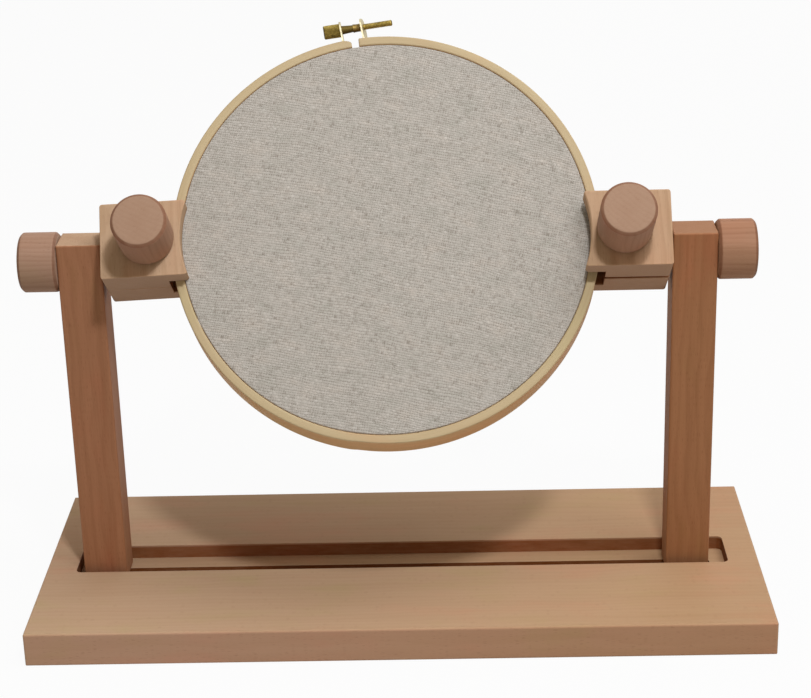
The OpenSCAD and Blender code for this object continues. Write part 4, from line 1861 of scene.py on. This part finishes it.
@dataclass
class Studio:
    """Camera, lamps, floor and backdrop."""

    eye: tuple[float, float, float] = (27.075 * MM, -967.458 * MM, 512.606 * MM)
    yaw: float = math.radians(-1.300)
    pitch: float = math.radians(21.249)
    roll: float = math.radians(1.543)
    focal_pixels: float = 2023.18
    picture_width: float = 811.0
    sensor: float = 36.0
    aim: tuple[float, float, float] = (0.0, 0.0, 0.12)
    sky: float = 0.31
    sky_colour: Rgb = (1.0, 0.86, 0.68)
    lamp_colour: Rgb = (0.97, 1.0, 1.07)
    floor_half: float = 3.0
    floor_grey: float = 0.58
    floor_white: float = 0.95

    def build(self) -> None:
        """Sets the camera, the lamps and the ground."""
        bpy.context.scene.view_settings.view_transform = "Standard"
        self._camera()
        for lamp in LAMPS:
            self._hang(lamp)
        self._sky()
        self._floor()

    def _camera(self) -> None:
        """A camera at the photograph's place, yawed, pitched down and rolled."""
        c, s = math.cos, math.sin
        ahead = np.array([s(self.yaw) * c(self.pitch), c(self.yaw) * c(self.pitch), -s(self.pitch)])
        right = np.array([c(self.yaw), -s(self.yaw), 0.0])
        down = np.cross(ahead, right)
        x = c(self.roll) * right + s(self.roll) * down
        y = s(self.roll) * right - c(self.roll) * down
        camera = bpy.data.objects.new("camera", bpy.data.cameras.new("camera"))
        camera.data.lens = self.focal_pixels / self.picture_width * self.sensor
        camera.data.sensor_width = self.sensor
        camera.data.dof.use_dof = False
        rows = [[x[i], y[i], -ahead[i], self.eye[i]] for i in range(3)]
        camera.matrix_world = Matrix(rows + [[0, 0, 0, 1]])
        bpy.context.scene.collection.objects.link(camera)
        bpy.context.scene.camera = camera

    def _hang(self, lamp: Lamp) -> None:
        """Hangs one lamp and turns it to the middle of the stand.

        Args:
            lamp: The lamp.
        """
        light = bpy.data.lights.new(lamp.name, "AREA")
        light.shape, light.size, light.energy = "SQUARE", lamp.size, lamp.power
        light.color = self.lamp_colour
        holder = bpy.data.objects.new(lamp.name, light)
        way = Vector(self.aim) - Vector(lamp.place)
        holder.location = lamp.place
        holder.rotation_euler = way.to_track_quat("-Z", "Y").to_euler()
        bpy.context.scene.collection.objects.link(holder)

    def _seen(self, tree: bpy.types.NodeTree) -> Socket:
        """1 for a ray of the camera, or one seen in metal or through glass.

        Args:
            tree: The node tree.

        Returns:
            The share, 0 or 1.
        """
        path = tree.nodes.new("ShaderNodeLightPath")
        seen = path.outputs["Is Camera Ray"]
        for other in ("Is Glossy Ray", "Is Transmission Ray"):
            either = tree.nodes.new("ShaderNodeMath")
            either.operation = "MAXIMUM"
            tree.links.new(seen, either.inputs[0])
            tree.links.new(path.outputs[other], either.inputs[1])
            seen = either.outputs[0]
        return seen

    def _join(self, tree: bpy.types.NodeTree, share: Socket, unseen: bpy.types.Node,
              seen: bpy.types.Node, output: str) -> None:
        """Shows one shader to the share of rays that see it, and the other to the rest.

        Args:
            tree: The node tree.
            share: The share that sees the seen shader.
            unseen: The shader that only gives light or takes shadow.
            seen: The shader that is seen.
            output: The type of the tree's output node.
        """
        mixed, out = tree.nodes.new("ShaderNodeMixShader"), tree.nodes.new(output)
        for socket, value in zip(mixed.inputs, (share, unseen.outputs[0], seen.outputs[0])):
            tree.links.new(value, socket)
        tree.links.new(mixed.outputs[0], out.inputs[0])

    def _sky(self) -> None:
        """A white backdrop where it is seen, and a dimmer even light from all round."""
        world = bpy.data.worlds.new("sky")
        bpy.context.scene.world = world
        world.use_nodes = True
        tree = world.node_tree
        tree.nodes.clear()
        light, white = (tree.nodes.new("ShaderNodeBackground") for _ in range(2))
        light.inputs["Color"].default_value = (*self.sky_colour, 1)
        light.inputs["Strength"].default_value = self.sky
        white.inputs["Color"].default_value = (1, 1, 1, 1)
        white.inputs["Strength"].default_value = 1.0
        self._join(tree, self._seen(tree), light, white, "ShaderNodeOutputWorld")

    def _floor(self) -> None:
        """A pale floor that is white where it is seen, but for the stand's soft shadow."""
        signs = np.array([[-1, -1, 0], [1, -1, 0], [-1, 1, 0], [1, 1, 0]], float)
        mesh = bpy.data.meshes.new("floor")
        mesh.from_pydata((self.floor_half * signs).tolist(), [], [[0, 1, 3, 2]])
        floor = bpy.data.objects.new("floor", mesh)
        bpy.context.scene.collection.objects.link(floor)
        material = bpy.data.materials.new("floor_white")
        material.use_nodes = True
        tree = material.node_tree
        tree.nodes.clear()
        matt, white = tree.nodes.new("ShaderNodeBsdfDiffuse"), tree.nodes.new("ShaderNodeEmission")
        matt.inputs["Color"].default_value = (*[self.floor_grey] * 3, 1)
        white.inputs["Color"].default_value = (1, 1, 1, 1)
        white.inputs["Strength"].default_value = 1.0
        share = tree.nodes.new("ShaderNodeMath")
        share.operation = "MULTIPLY"
        share.inputs[1].default_value = self.floor_white
        tree.links.new(self._seen(tree), share.inputs[0])
        self._join(tree, share.outputs[0], matt, white, "ShaderNodeOutputMaterial")
        mesh.materials.append(material)
        floor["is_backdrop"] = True


def main() -> None:
    """Builds the stand piece by piece."""
    logging.basicConfig(level=logging.INFO, format="%(message)s")
    stand = Stand()
    Studio().build()
    BaseBoard(stand).build()
    hoop = Hoop(stand)
    hoop.build()
    HoopScrew(stand, hoop).build()
    for side in Side:
        Post(stand, side).build()
        Clamp(stand, side).build()
    boxes = {"cad": [list(corner) for corner in stand.box],
             "visual": [list(corner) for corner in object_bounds()]}


if __name__ == "__main__":
    main()
